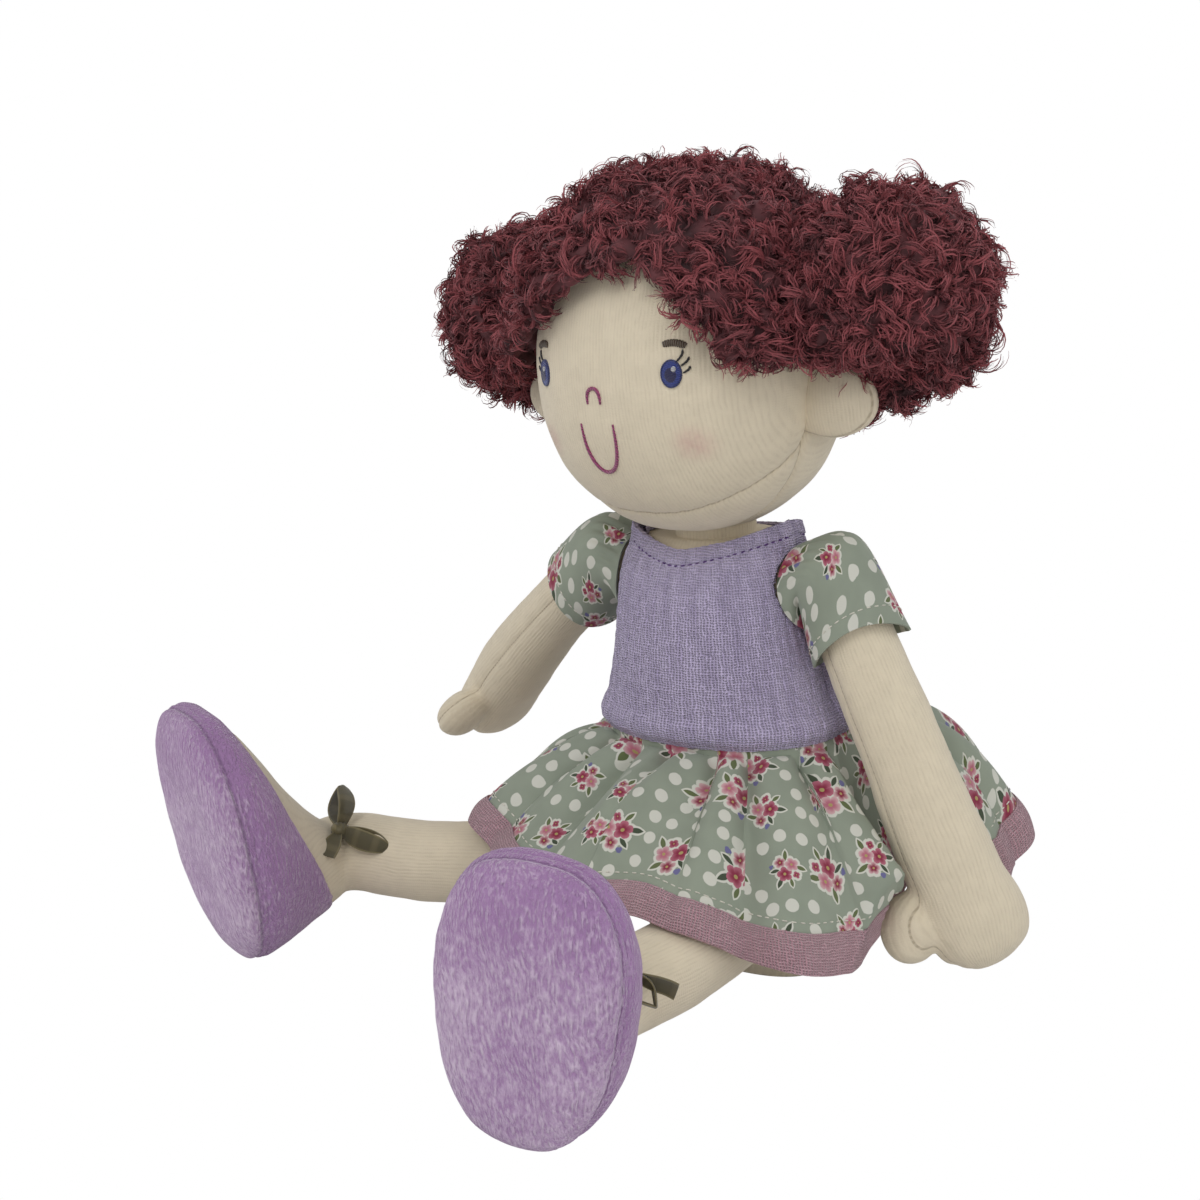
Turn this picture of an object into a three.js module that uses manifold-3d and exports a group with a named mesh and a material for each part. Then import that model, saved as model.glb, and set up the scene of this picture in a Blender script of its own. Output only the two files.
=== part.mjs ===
// Rag doll: a stuffed jersey doll in a gathered dress, seated with its legs out in front.
// Millimetres. The doll looks along -Y, its own left is +X, up is +Z.
// The origin is the middle of the flat seat, on the surface that the doll sits on.
import * as THREE from 'three';
import { mergeVertices } from 'three/addons/utils/BufferGeometryUtils.js';
import Module from 'manifold-3d';

const wasm = await Module();
wasm.setup();

// Clearances and cloth
const seam = 0.3;
const overrun = 40;
const cottonPly = 1.0;
const gauzePly = 1.2;

// Torso: a stuffed body that narrows to its seat, leaning a little forward and to its right
const torso = {
  height: 141,
  halfWidth: 41.2,
  halfDepth: 29,
  squareness: 2.2,
  leanForward: THREE.MathUtils.degToRad(2.8),
  leanRight: THREE.MathUtils.degToRad(3.6),
  rings: 11,
  sides: 20,
  // share of the height, of the half width and of the half depth
  profileShares: [
    [-0.041, 0.62, 0.5],
    [0.03, 0.84, 0.68],
    [0.14, 0.97, 0.8],
    [0.33, 1.0, 0.87],
    [0.54, 1.0, 1.0],
    [0.68, 0.86, 0.98],
    [0.78, 0.775, 0.93],
    [0.87, 0.745, 0.845],
    [0.94, 0.71, 0.71],
    [0.975, 0.655, 0.6],
    [1.0, 0.57, 0.5],
  ],
};

// Neck: a stuffed tube with a rounded end in the torso and another in the head
const neck = {
  radius: 13,
  inTorso: 9,
  aboveTorso: 5,
  sides: 20,
  play: 0.4,
  nodRoom: THREE.MathUtils.degToRad(24),
};

// Head, given from its own middle
const head = {
  halfWidth: 46.3,
  halfDepth: 46.3,
  halfHeight: 51.5,
  squareness: 2.2,
  forward: 6,
  aboveTorso: 54,
  sides: 28,
  bands: 14,
};
const jawSeam = { frontY: -40, frontZ: -43.5, slopeShare: 0.56 };
const earSeamY = -6;

const ear = {
  halfLength: 17.5,
  halfThickness: 4.5,
  halfHeight: 11,
  x: 50.5,
  z: -10,
  squareness: 2,
  sides: 16,
  bands: 8,
};

// Hair: a cap of curly pile fabric and two stuffed side bunches
const hair = {
  pile: 9,
  napeZ: -17,
  behindEarY: 2,
  sides: 28,
  bands: 13,
  tuftDepth: 1.6,
  tuftsRound: 10,
  tuftsHigh: 6,
  // the edge of the face opening: share of the head's half width, share of its half height
  hairlineShares: [
    [-1.5, 0.05],
    [-0.93, 0.04],
    [-0.86, 0.13],
    [-0.6, 0.31],
    [-0.3, 0.47],
    [0.02, 0.6],
    [0.3, 0.68],
    [0.5, 0.51],
    [0.7, 0.33],
    [0.84, 0.17],
    [0.92, 0.05],
    [1.5, 0.05],
  ],
};
const bunch = {
  halfWidth: 30.5,
  halfDepth: 31,
  halfHeight: 30.5,
  x: 65.5,
  y: 7,
  z: 17.5,
  sides: 22,
  bands: 13,
  tuftDepth: 1.5,
  tuftsRound: 7,
  tuftsHigh: 6,
};

// Embroidery on the face, given by its place on the face in the front view of the head
const stitch = { height: 0.8, sides: 6 };
const eye = { x: 25, z: 2, halfWidth: 3.3, halfHeight: 4.4, sides: 20 };
const brow = { x: 25, z: 11, halfLength: 3.6, rise: 1.1, width: 1.7, steps: 8 };
const nose = { z: -5, halfWidth: 2.4, height: 5, fullnessShare: 0.6, width: 1.2, steps: 12 };
const mouth = {
  topZ: -12.5,
  bottomZ: -26.8,
  halfWidth: 5.8,
  fullnessShare: 0.7,
  width: 1.3,
  steps: 20,
};

// Arms: stuffed, with a mitten hand, its thumb to the front
const shoulder = {
  x: 41,
  belowTop: 9.5,
  rootRadius: 4.6,
  rootInset: 22,
  play: 0.4,
  sides: 12,
  slotTurns: 7,
};
const arm = {
  length: 129,
  radius: 12,
  bow: 3.5,
  rings: 12,
  sides: 18,
  squareness: 2.1,
  // share of the length, of the radius across and of the radius front to back
  profileShares: [
    [-0.068, 0.28, 0.28],
    [-0.05, 0.58, 0.58],
    [0, 0.78, 0.78],
    [0.2, 0.82, 0.88],
    [0.45, 0.9, 0.96],
    [0.66, 1.0, 1.06],
    [0.78, 0.95, 1.1],
    [0.88, 0.9, 1.22],
    [0.95, 0.75, 1.08],
    [0.99, 0.4, 0.6],
    [1.0, 0.15, 0.25],
  ],
  thumb: {
    halfWidth: 7,
    halfReach: 9,
    halfLength: 10.5,
    reach: 17,
    down: 109,
    tilt: THREE.MathUtils.degToRad(25.8),
    squareness: 2,
    sides: 12,
    bands: 8,
  },
  // how far each arm is lifted from hanging and swung back at rest
  liftAtRest: { left: THREE.MathUtils.degToRad(21), right: THREE.MathUtils.degToRad(50) },
  swingAtRest: { left: THREE.MathUtils.degToRad(2), right: THREE.MathUtils.degToRad(18) },
  // how far each hand is turned inwards about its arm, its thumb with it
  twist: { left: THREE.MathUtils.degToRad(35), right: THREE.MathUtils.degToRad(-15) },
  liftLow: THREE.MathUtils.degToRad(15),
  liftHigh: THREE.MathUtils.degToRad(112),
};

// Legs: stuffed tubes hung on an unstuffed root that is sewn to the front of the seat
const hip = {
  x: 27,
  y: -25.5,
  z: 32,
  rootRadius: 5,
  rootHalfHeight: 9,
  rootReach: 18.5,
  play: 0.4,
  sides: 12,
  slotTurns: 7,
  // share of the downward swing from which the roll reaches the leg's underside
  rollMeetsShare: 0.8,
};
const leg = {
  reach: { left: 112, right: 122 },
  radius: 13,
  ankleZ: 27,
  bendShare: 0.6,
  bendAsideShare: 0.3,
  rings: 7,
  sides: 20,
  // share of the way from hip to foot, share of the radius
  profileShares: [
    [0, 1.0],
    [0.3, 1.03],
    [0.65, 1.0],
    [1, 0.98],
  ],
  turnOut: { left: THREE.MathUtils.degToRad(5), right: THREE.MathUtils.degToRad(48.5) },
  swingUp: THREE.MathUtils.degToRad(20),
  swingDown: THREE.MathUtils.degToRad(95),
};

// Feet: a puffed sole, a shoe upper sewn round it and the jersey instep above
const foot = {
  height: 89,
  halfWidth: 28.5,
  depth: 42,
  heelShare: 0.86,
  toeWiderShare: 0.17,
  squareness: 2.5,
  tiltForward: { left: THREE.MathUtils.degToRad(8), right: THREE.MathUtils.degToRad(11) },
  turn: { left: THREE.MathUtils.degToRad(8), right: THREE.MathUtils.degToRad(-42) },
  soleDome: 7,
  soleRings: 4,
  soleShrinkShare: 0.32,
  soleFullnessShare: 0.6,
  upperSwell: 2.2,
  upperFullnessShare: 0.8,
  rings: 8,
  sides: 26,
  // the shoe's edge: how far behind the sole it lies at the ankle's height, and its slope
  upperDepth: 23,
  upperSlopeShare: 0.3,
};

// Ribbon bow at each ankle
const bow = {
  ribbon: 7.5,
  ply: 0.8,
  loop: 16.5,
  loopRise: 4,
  loopDrop: 5.5,
  tail: 15,
  tailDrop: 12,
  knot: { halfWidth: 3, halfDepth: 3.6, halfHeight: 2.6, sides: 8, bands: 5 },
  tailAside: 5,
  tailSteps: 3,
  apart: 2.6,
  steps: 8,
  tilt: THREE.MathUtils.degToRad(38),
  behindSole: 33,
};

// Bodice: double gauze, a front and two backs that meet in a closing at the centre back
const bodice = {
  hemZ: 79.5,
  off: 1.75,
  neckHalfWidth: 22,
  neckHalfDepth: 23.5,
  neckBelowTop: 3.5,
  neckSlopeShare: 0.075,
  armholeHalfDepth: 12,
  armholeHalfHeight: 12,
  armholeBelowTop: 15.5,
  facing: 8,
  tapeWidth: 9,
  tapeTopGap: 9,
  tapeBottomGap: 8,
};

// Sleeves: short caps from the armhole to a loose hem round the arm
const sleeve = {
  along: 25,
  hemRadius: 13.8,
  midRadius: 13.5,
  midAlong: 3,
  uprightShare: 0.5,
  outward: 1.6,
  around: 20,
  steps: 4,
};

// Skirt: gathered cotton that springs out from the waist, with a wide gauze band at its hem
const skirt = {
  waistZ: 84,
  tuck: 7,
  hemRadius: 88,
  hemZ: 29,
  hemOverLegsZ: 46,
  overLegsFrom: THREE.MathUtils.degToRad(-70),
  overLegsTo: THREE.MathUtils.degToRad(31),
  overLegsBlend: THREE.MathUtils.degToRad(44),
  bell: 9,
  bellShare: 0.42,
  band: 12.5,
  bandPly: 1.4,
  bandGap: 0.5,
  folds: 15,
  foldDepth: 3.4,
  foldGrowthShare: 0.8,
  foldLostOverLegsShare: 0.45,
  foldRiseShare: 0.35,
  foldDriftShare: 0.9,
  around: 60,
  steps: 6,
  bandSteps: 1,
  armClear: 3.4,
};

// Heights that go with the torso's
const neckLowZ = torso.height - neck.inTorso;
const neckHighZ = torso.height + neck.aboveTorso;
const headZ = torso.height + head.aboveTorso;
const shoulderZ = torso.height - shoulder.belowTop;
const necklineZ = torso.height - bodice.neckBelowTop;
const armholeZ = torso.height - bodice.armholeBelowTop;

// Materials
const jersey = new THREE.MeshStandardMaterial({ color: 0xe6dcc0, roughness: 0.95 });
const pile = new THREE.MeshStandardMaterial({ color: 0x6d2230, roughness: 1 });
const lavender = new THREE.MeshStandardMaterial({ color: 0xa99bc9, roughness: 0.95 });
const sage = new THREE.MeshStandardMaterial({ color: 0x99a894, roughness: 0.9 });
const pink = new THREE.MeshStandardMaterial({ color: 0xc590a3, roughness: 0.95 });
const plush = new THREE.MeshStandardMaterial({ color: 0xb48ac6, roughness: 1 });
const blue = new THREE.MeshStandardMaterial({ color: 0x2b3a92, roughness: 0.5 });
const olive = new THREE.MeshStandardMaterial({ color: 0x5b5134, roughness: 0.4 });
const berry = new THREE.MeshStandardMaterial({ color: 0xa8336b, roughness: 0.5 });
const tapeWhite = new THREE.MeshStandardMaterial({ color: 0xe9e6de, roughness: 0.9 });

// Solids

function solidOf(geometry) {
  const bare = geometry.index ? geometry.toNonIndexed() : geometry.clone();
  bare.deleteAttribute('normal');
  bare.deleteAttribute('uv');
  const merged = mergeVertices(bare, 1e-4);
  return new wasm.Manifold(
    new wasm.Mesh({
      numProp: 3,
      vertProperties: merged.attributes.position.array,
      triVerts: new Uint32Array(merged.index.array),
    }),
  );
}

function geometryOf(solid) {
  const mesh = solid.getMesh();
  const geometry = new THREE.BufferGeometry();
  geometry.setAttribute('position', new THREE.BufferAttribute(new Float32Array(mesh.vertProperties), 3));
  geometry.setIndex(new THREE.BufferAttribute(new Uint32Array(mesh.triVerts), 1));
  geometry.computeVertexNormals();
  return geometry;
}

function addPiece(group, name, solid, material) {
  const mesh = new THREE.Mesh(geometryOf(solid), material);
  mesh.name = name;
  group.add(mesh);
}

function moved(solid, matrix) {
  return solid.transform(matrix.elements);
}

// A solid given in one group's frame, in another group's frame.
function seenFrom(solid, fromGroup, toGroup) {
  const matrix = toGroup.matrixWorld.clone().invert().multiply(fromGroup.matrixWorld);
  return moved(solid, matrix);
}

function box(low, high) {
  const size = new THREE.Vector3().subVectors(high, low);
  const middle = new THREE.Vector3().addVectors(low, high).multiplyScalar(0.5);
  const geometry = new THREE.BoxGeometry(size.x, size.y, size.z);
  return solidOf(geometry.translate(middle.x, middle.y, middle.z));
}

// A closed solid through rings of points, each ring with as many points, its ends closed by a fan.
function loftSolid(rings) {
  const points = rings.flat();
  const count = rings[0].length;
  const faces = [];
  for (let r = 0; r + 1 < rings.length; r++) {
    for (let i = 0; i < count; i++) {
      const a = r * count + i;
      const b = r * count + ((i + 1) % count);
      faces.push(a, b, b + count, a, b + count, a + count);
    }
  }
  [rings[0], rings[rings.length - 1]].forEach((ring, end) => {
    const middle = ring.reduce((sum, p) => sum.add(p), new THREE.Vector3()).multiplyScalar(1 / count);
    const base = end * (rings.length - 1) * count;
    points.push(middle);
    for (let i = 0; i < count; i++) {
      const a = base + i;
      const b = base + ((i + 1) % count);
      if (end) faces.push(points.length - 1, a, b);
      else faces.push(points.length - 1, b, a);
    }
  });
  const geometry = new THREE.BufferGeometry().setFromPoints(points);
  geometry.setIndex(faces);
  const solid = solidOf(geometry);
  return solid.volume() < 0 ? turnedOut(geometry) : solid;
}

// A point on a rounded square of two half sizes: squareness 2 is an ellipse.
function roundedPoint(angle, halfX, halfY, squareness) {
  const power = 2 / squareness;
  const c = Math.cos(angle);
  const s = Math.sin(angle);
  return [
    halfX * Math.sign(c) * Math.abs(c) ** power,
    halfY * Math.sign(s) * Math.abs(s) ** power,
  ];
}

// Smooth values between the rows of a table of shares.
function smoothRows(table, count) {
  const curve = new THREE.CatmullRomCurve3(
    table.map((row) => new THREE.Vector3(row[0], row[1], row[2] ?? row[1])),
    false,
    'centripetal',
  );
  const rows = [];
  for (let i = 0; i <= count; i++) {
    const p = curve.getPoint(i / count);
    rows.push([p.x, p.y, p.z]);
  }
  return rows;
}

// An egg-like solid round the origin: halves along X, Y and Z, with squareness in plan.
function roundSolid(halfX, halfY, halfZ, squareness, sides, bands, bump = () => 0) {
  const rings = [];
  const power = 2 / squareness;
  for (let b = 1; b < bands; b++) {
    const rise = -Math.PI / 2 + (Math.PI * b) / bands;
    const flat = Math.abs(Math.cos(rise)) ** power;
    const z = Math.sign(Math.sin(rise)) * Math.abs(Math.sin(rise)) ** power;
    const ring = [];
    for (let i = 0; i < sides; i++) {
      const angle = (2 * Math.PI * i) / sides;
      const [x, y] = roundedPoint(angle, halfX * flat, halfY * flat, squareness);
      const point = new THREE.Vector3(x, y, z * halfZ);
      const out = new THREE.Vector3(x / halfX ** 2, y / halfY ** 2, (z * halfZ) / halfZ ** 2).normalize();
      ring.push(point.addScaledVector(out, bump(angle, rise)));
    }
    rings.push(ring);
  }
  return loftSolid(rings);
}

// A closed sheet of cloth: surface(u, v) is its middle, u goes right round and v from edge to edge.
function sheetSolid(surface, around, steps, ply) {
  const step = 1e-3;
  const inside = [];
  const outside = [];
  for (let j = 0; j <= steps; j++) {
    const inner = [];
    const outer = [];
    for (let i = 0; i < around; i++) {
      const u = i / around;
      const v = j / steps;
      const p = surface(u, v);
      const du = surface(u + step, v).sub(surface(u - step, v));
      const dv = surface(u, Math.min(v + step, 1)).sub(surface(u, Math.max(v - step, 0)));
      const normal = du.cross(dv).normalize();
      inner.push(p.clone().addScaledVector(normal, -ply / 2));
      outer.push(p.clone().addScaledVector(normal, ply / 2));
    }
    inside.push(inner);
    outside.push(outer);
  }
  const rings = [...outside, ...inside.reverse()];
  const points = rings.flat();
  const faces = [];
  for (let r = 0; r < rings.length; r++) {
    for (let i = 0; i < around; i++) {
      const next = (r + 1) % rings.length;
      const a = r * around + i;
      const b = r * around + ((i + 1) % around);
      const c = next * around + ((i + 1) % around);
      const d = next * around + i;
      faces.push(a, b, c, a, c, d);
    }
  }
  const geometry = new THREE.BufferGeometry().setFromPoints(points);
  geometry.setIndex(faces);
  const solid = solidOf(geometry);
  return solid.volume() < 0 ? turnedOut(geometry) : solid;
}

// The same closed surface with its faces the other way round.
function turnedOut(geometry) {
  const index = geometry.index.array;
  for (let i = 0; i < index.length; i += 3) {
    const kept = index[i + 1];
    index[i + 1] = index[i + 2];
    index[i + 2] = kept;
  }
  return solidOf(geometry);
}

// A straight rod with rounded ends.
function rodSolid(from, to, radius, sides) {
  const along = new THREE.Vector3().subVectors(to, from);
  const geometry = new THREE.CapsuleGeometry(radius, along.length(), Math.max(4, sides / 4), sides);
  const upright = new THREE.Vector3(0, 1, 0);
  const turn = new THREE.Quaternion().setFromUnitVectors(upright, along.clone().normalize());
  geometry.applyQuaternion(turn);
  const middle = new THREE.Vector3().addVectors(from, to).multiplyScalar(0.5);
  return solidOf(geometry.translate(middle.x, middle.y, middle.z));
}

function union(solids) {
  return solids.reduce((sum, solid) => sum.add(solid));
}

// The groups that carry the pieces

const doll = new THREE.Group();
const upperBody = new THREE.Group();
upperBody.rotation.set(torso.leanForward, -torso.leanRight, 0);
doll.add(upperBody);
const headGroup = new THREE.Group();
headGroup.position.set(0, -head.forward, headZ);
upperBody.add(headGroup);

const sides = ['left', 'right'];
const sign = { left: 1, right: -1 };
const armGroup = {};
const legGroup = {};
const footGroup = {};
for (const side of sides) {
  armGroup[side] = new THREE.Group();
  armGroup[side].position.set(sign[side] * shoulder.x, 0, shoulderZ);
  armGroup[side].rotation.set(arm.swingAtRest[side], -sign[side] * arm.liftAtRest[side], 0);
  upperBody.add(armGroup[side]);
  legGroup[side] = new THREE.Group();
  legGroup[side].position.set(sign[side] * hip.x, hip.y, 0);
  legGroup[side].rotation.z = sign[side] * leg.turnOut[side];
  doll.add(legGroup[side]);
  footGroup[side] = new THREE.Group();
  footGroup[side].position.set(0, -leg.reach[side], 0);
  footGroup[side].rotation.set(foot.tiltForward[side], 0, sign[side] * foot.turn[side], 'ZYX');
  legGroup[side].add(footGroup[side]);
}
doll.updateMatrixWorld(true);

// Torso

function torsoRows() {
  return smoothRows(torso.profileShares, torso.rings);
}

// The torso's form, grown outwards by a distance.
function torsoForm(grow) {
  const rings = torsoRows().map(([z, width, depth]) => {
    const ring = [];
    for (let i = 0; i < torso.sides; i++) {
      const angle = (2 * Math.PI * i) / torso.sides;
      const [x, y] = roundedPoint(
        angle,
        width * torso.halfWidth + grow,
        depth * torso.halfDepth + grow,
        torso.squareness,
      );
      ring.push(new THREE.Vector3(x, y, z * torso.height));
    }
    return ring;
  });
  if (grow) {
    const top = rings[rings.length - 1];
    rings.push(top.map((p) => p.clone().setZ(p.z + grow)));
  }
  return loftSolid(rings);
}

// Half width and half depth of the torso at a height.
function torsoHalves(z) {
  const rows = torsoRows();
  const share = z / torso.height;
  let i = 0;
  while (i < rows.length - 2 && rows[i + 1][0] < share) i++;
  const t = THREE.MathUtils.clamp((share - rows[i][0]) / (rows[i + 1][0] - rows[i][0]), 0, 1);
  return [
    THREE.MathUtils.lerp(rows[i][1], rows[i + 1][1], t) * torso.halfWidth,
    THREE.MathUtils.lerp(rows[i][2], rows[i + 1][2], t) * torso.halfDepth,
  ];
}

// A point on the torso's faceted side at a height, off it by a distance; u goes round from the left.
function torsoSide(u, z, off) {
  const [width, depth] = torsoHalves(z);
  const corner = (i) => {
    const angle = (2 * Math.PI * i) / torso.sides;
    const [x, y] = roundedPoint(angle, width + off, depth + off, torso.squareness);
    return new THREE.Vector3(x, y, z);
  };
  const place = u * torso.sides;
  const low = Math.floor(place);
  return corner(low).lerp(corner(low + 1), place - low);
}

const neckLow = new THREE.Vector3(0, 0, neckLowZ);
const neckHigh = new THREE.Vector3(0, 0, neckHighZ);

function shoulderRoot(side, play) {
  const from = new THREE.Vector3(sign[side] * (shoulder.x - shoulder.rootInset), 0, shoulderZ);
  const to = new THREE.Vector3(sign[side] * shoulder.x, 0, shoulderZ);
  return rodSolid(from, to, shoulder.rootRadius + play, shoulder.sides);
}

// The slot that a root of one radius needs in a limb that turns round its tip: a fan in the plane
// of the first two axes, from one angle to another, and a ball round the tip.
function fanSlot(firstAxis, secondAxis, from, to, radius, reach, turns) {
  const flat = (angle, distance, aside) => {
    const c = Math.cos(angle);
    const s = Math.sin(angle);
    return new THREE.Vector2(distance * c - aside * s, distance * s + aside * c);
  };
  const outline = [flat(from, 0, -radius), flat(from, reach, -radius)];
  for (let i = 0; i <= turns; i++) {
    outline.push(flat(THREE.MathUtils.lerp(from, to, i / turns), reach + radius, 0));
  }
  outline.push(flat(to, reach, radius), flat(to, 0, radius));
  const middle = (from + to) / 2;
  outline.push(flat(middle, -radius, 0));
  const thirdAxis = new THREE.Vector3().crossVectors(firstAxis, secondAxis);
  const ring = (lift) =>
    outline.map((p) =>
      new THREE.Vector3()
        .addScaledVector(firstAxis, p.x)
        .addScaledVector(secondAxis, p.y)
        .addScaledVector(thirdAxis, lift),
    );
  const round = radius / Math.cos(Math.PI / (2 * turns)) ** 2;
  const ball = roundSolid(round, round, round, 2, turns * 2, turns);
  return loftSolid([ring(-radius), ring(radius)]).add(ball);
}

// The unstuffed root of a leg: an upright roll in the torso's front and a tongue into the leg.
function hipRoll(play) {
  const low = new THREE.Vector3(0, 0, hip.z - hip.rootHalfHeight);
  const high = new THREE.Vector3(0, 0, hip.z + hip.rootHalfHeight);
  return rodSolid(low, high, hip.rootRadius + play, hip.sides);
}

function hipTongue(play) {
  const from = new THREE.Vector3(0, 0, hip.z);
  const to = new THREE.Vector3(0, -hip.rootReach, hip.z);
  return rodSolid(from, to, hip.rootRadius + play, hip.sides);
}

// Where the roll lies, seen from its leg, once the leg has swung down by an angle.
function hipRollSeen(angle) {
  const turn = new THREE.Matrix4().makeRotationX(-angle);
  const aboutTip = hipRoll(hip.play).translate([0, hip.rootReach, -hip.z]);
  return moved(aboutTip, turn).translate([0, -hip.rootReach, hip.z]);
}

const floorCut = box(
  new THREE.Vector3(-2 * overrun, -2 * overrun, -2 * overrun),
  new THREE.Vector3(2 * overrun, 2 * overrun, 0),
);

let torsoSolid = torsoForm(0).subtract(seenFrom(floorCut, doll, upperBody));
torsoSolid = torsoSolid.subtract(rodSolid(neckLow, neckHigh, neck.radius + neck.play, neck.sides));
for (const side of sides) {
  torsoSolid = torsoSolid.subtract(shoulderRoot(side, shoulder.play));
  torsoSolid = torsoSolid.subtract(seenFrom(hipRoll(hip.play), legGroup[side], upperBody));
}
addPiece(upperBody, 'torso', torsoSolid, jersey);

// Dress bodice

function bodiceShell(inner, outer) {
  const low = new THREE.Vector3(-2 * overrun, -2 * overrun, bodice.hemZ);
  const high = new THREE.Vector3(2 * overrun, 2 * overrun, torso.height + overrun);
  return torsoForm(outer).subtract(torsoForm(inner)).intersect(box(low, high));
}

// What is cut away above the neckline, which rises from front to back.
function neckCutter(grow) {
  const rings = [necklineZ - grow, torso.height + overrun].map((z, top) => {
    const ring = [];
    for (let i = 0; i < torso.sides; i++) {
      const angle = (2 * Math.PI * i) / torso.sides;
      const [x, y] = roundedPoint(
        angle,
        bodice.neckHalfWidth + grow,
        bodice.neckHalfDepth + grow,
        torso.squareness,
      );
      const rise = top ? 0 : (y + bodice.neckHalfDepth) * bodice.neckSlopeShare;
      ring.push(new THREE.Vector3(x, y, z + rise));
    }
    return ring;
  });
  return loftSolid(rings);
}

function armholeCutter(side) {
  const ring = (x) => {
    const points = [];
    for (let i = 0; i < torso.sides; i++) {
      const angle = (2 * Math.PI * i) / torso.sides;
      points.push(
        new THREE.Vector3(
          x,
          bodice.armholeHalfDepth * Math.cos(angle),
          armholeZ + bodice.armholeHalfHeight * Math.sin(angle),
        ),
      );
    }
    return points;
  };
  const from = shoulder.x - shoulder.rootInset;
  const form = loftSolid([ring(from), ring(from + overrun)]);
  return side === 'left' ? form : moved(form, new THREE.Matrix4().makeRotationZ(Math.PI));
}

const armholes = union([armholeCutter('left'), armholeCutter('right')]);
const dress = bodiceShell(bodice.off, bodice.off + gauzePly).subtract(neckCutter(0)).subtract(armholes);
const far = 3 * overrun;
const frontHalf = box(new THREE.Vector3(-far, -far, 0), new THREE.Vector3(far, -seam / 2, 2 * far));
const backLeft = box(new THREE.Vector3(seam / 2, seam / 2, 0), new THREE.Vector3(far, far, 2 * far));
const backRight = box(new THREE.Vector3(-far, seam / 2, 0), new THREE.Vector3(-seam / 2, far, 2 * far));
addPiece(upperBody, 'bodice_front', dress.intersect(frontHalf), lavender);
addPiece(upperBody, 'bodice_back_left', dress.intersect(backLeft), lavender);
addPiece(upperBody, 'bodice_back_right', dress.intersect(backRight), lavender);

const facingShell = bodiceShell(seam, bodice.off - seam).subtract(armholes);
const facingSolid = facingShell.intersect(neckCutter(bodice.facing)).subtract(neckCutter(0));
addPiece(upperBody, 'neck_facing', facingSolid, lavender);

// A closing tape behind the edges of the two backs, from under the facing to above the gathers.
const tapeLow = new THREE.Vector3(-bodice.tapeWidth / 2, 0, skirt.waistZ + bodice.tapeBottomGap);
const tapeHigh = new THREE.Vector3(
  bodice.tapeWidth / 2,
  far,
  necklineZ - bodice.facing - bodice.tapeTopGap + bodice.neckSlopeShare * 2 * bodice.neckHalfDepth,
);
const tapeSolid = bodiceShell(seam, bodice.off - seam).intersect(box(tapeLow, tapeHigh));
addPiece(upperBody, 'back_closing_tape', tapeSolid, tapeWhite);

// Skirt and hem band

const toDoll = upperBody.matrixWorld;

// What presses on the skirt: each arm's line, and each thumb's, with the room that it needs.
const presses = [];
for (const side of sides) {
  const turn = new THREE.Matrix4().makeRotationZ(-sign[side] * arm.twist[side]);
  const toWorld = armGroup[side].matrixWorld.clone().multiply(turn);
  const at = (y, z) => new THREE.Vector3(0, y, z).applyMatrix4(toWorld);
  const room = skirt.armClear + cottonPly;
  const thumb = arm.thumb;
  const wide = arm.radius * Math.max(...arm.profileShares.map((row) => row[2]));
  const armLine = new THREE.Line3(at(0, 0), at(0, -arm.length));
  const thumbLine = new THREE.Line3(at(0, -thumb.down), at(-thumb.reach, -thumb.down));
  presses.push({ line: armLine, clear: wide + room });
  presses.push({ line: thumbLine, clear: thumb.halfLength + room });
}

// How far a value lies inside a range of angles, from 0 outside to 1 inside, with soft ends.
function insideRange(angle, from, to, blend) {
  const rise = THREE.MathUtils.smoothstep(angle, from - blend / 2, from + blend / 2);
  const fall = 1 - THREE.MathUtils.smoothstep(angle, to - blend / 2, to + blend / 2);
  return rise * fall;
}

// The skirt's middle surface: u goes round from the back. v is -1 to 0 in the gathers under the
// bodice and 0 to 1 from there to the hem's edge.
function skirtPoint(u, v) {
  const angle = 2 * Math.PI * u - Math.PI;
  const offset = seam + cottonPly / 2 + seam / 4;
  const quarter = 1 / 4;
  const waist = torsoSide(u + quarter, skirt.waistZ, offset).applyMatrix4(toDoll);
  const tucked = torsoSide(u + quarter, skirt.waistZ - skirt.tuck, offset).applyMatrix4(toDoll);
  if (v <= 0) return waist.lerp(tucked, v + 1);
  const over = insideRange(angle, skirt.overLegsFrom, skirt.overLegsTo, skirt.overLegsBlend);
  const hemZ = THREE.MathUtils.lerp(skirt.hemZ, skirt.hemOverLegsZ, over);
  const hemX = skirt.hemRadius * Math.sin(angle);
  const hemY = -skirt.hemRadius * Math.cos(angle);
  const hem = new THREE.Vector3(hemX, hemY, hemZ);
  const control = new THREE.Vector3().lerpVectors(tucked, hem, skirt.bellShare);
  control.z += skirt.bell;
  const a = tucked.clone().lerp(control, v);
  const b = control.clone().lerp(hem, v);
  const point = a.lerp(b, v);
  const wave = Math.cos(skirt.folds * angle + skirt.foldDriftShare * Math.sin(2 * angle) * v);
  const grown = skirt.foldDepth * v ** skirt.foldGrowthShare * (1 - skirt.foldLostOverLegsShare * over);
  const outward = new THREE.Vector3(Math.sin(angle), -Math.cos(angle), skirt.foldRiseShare).normalize();
  point.addScaledVector(outward, wave * grown);
  return pressedIn(point);
}

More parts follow.
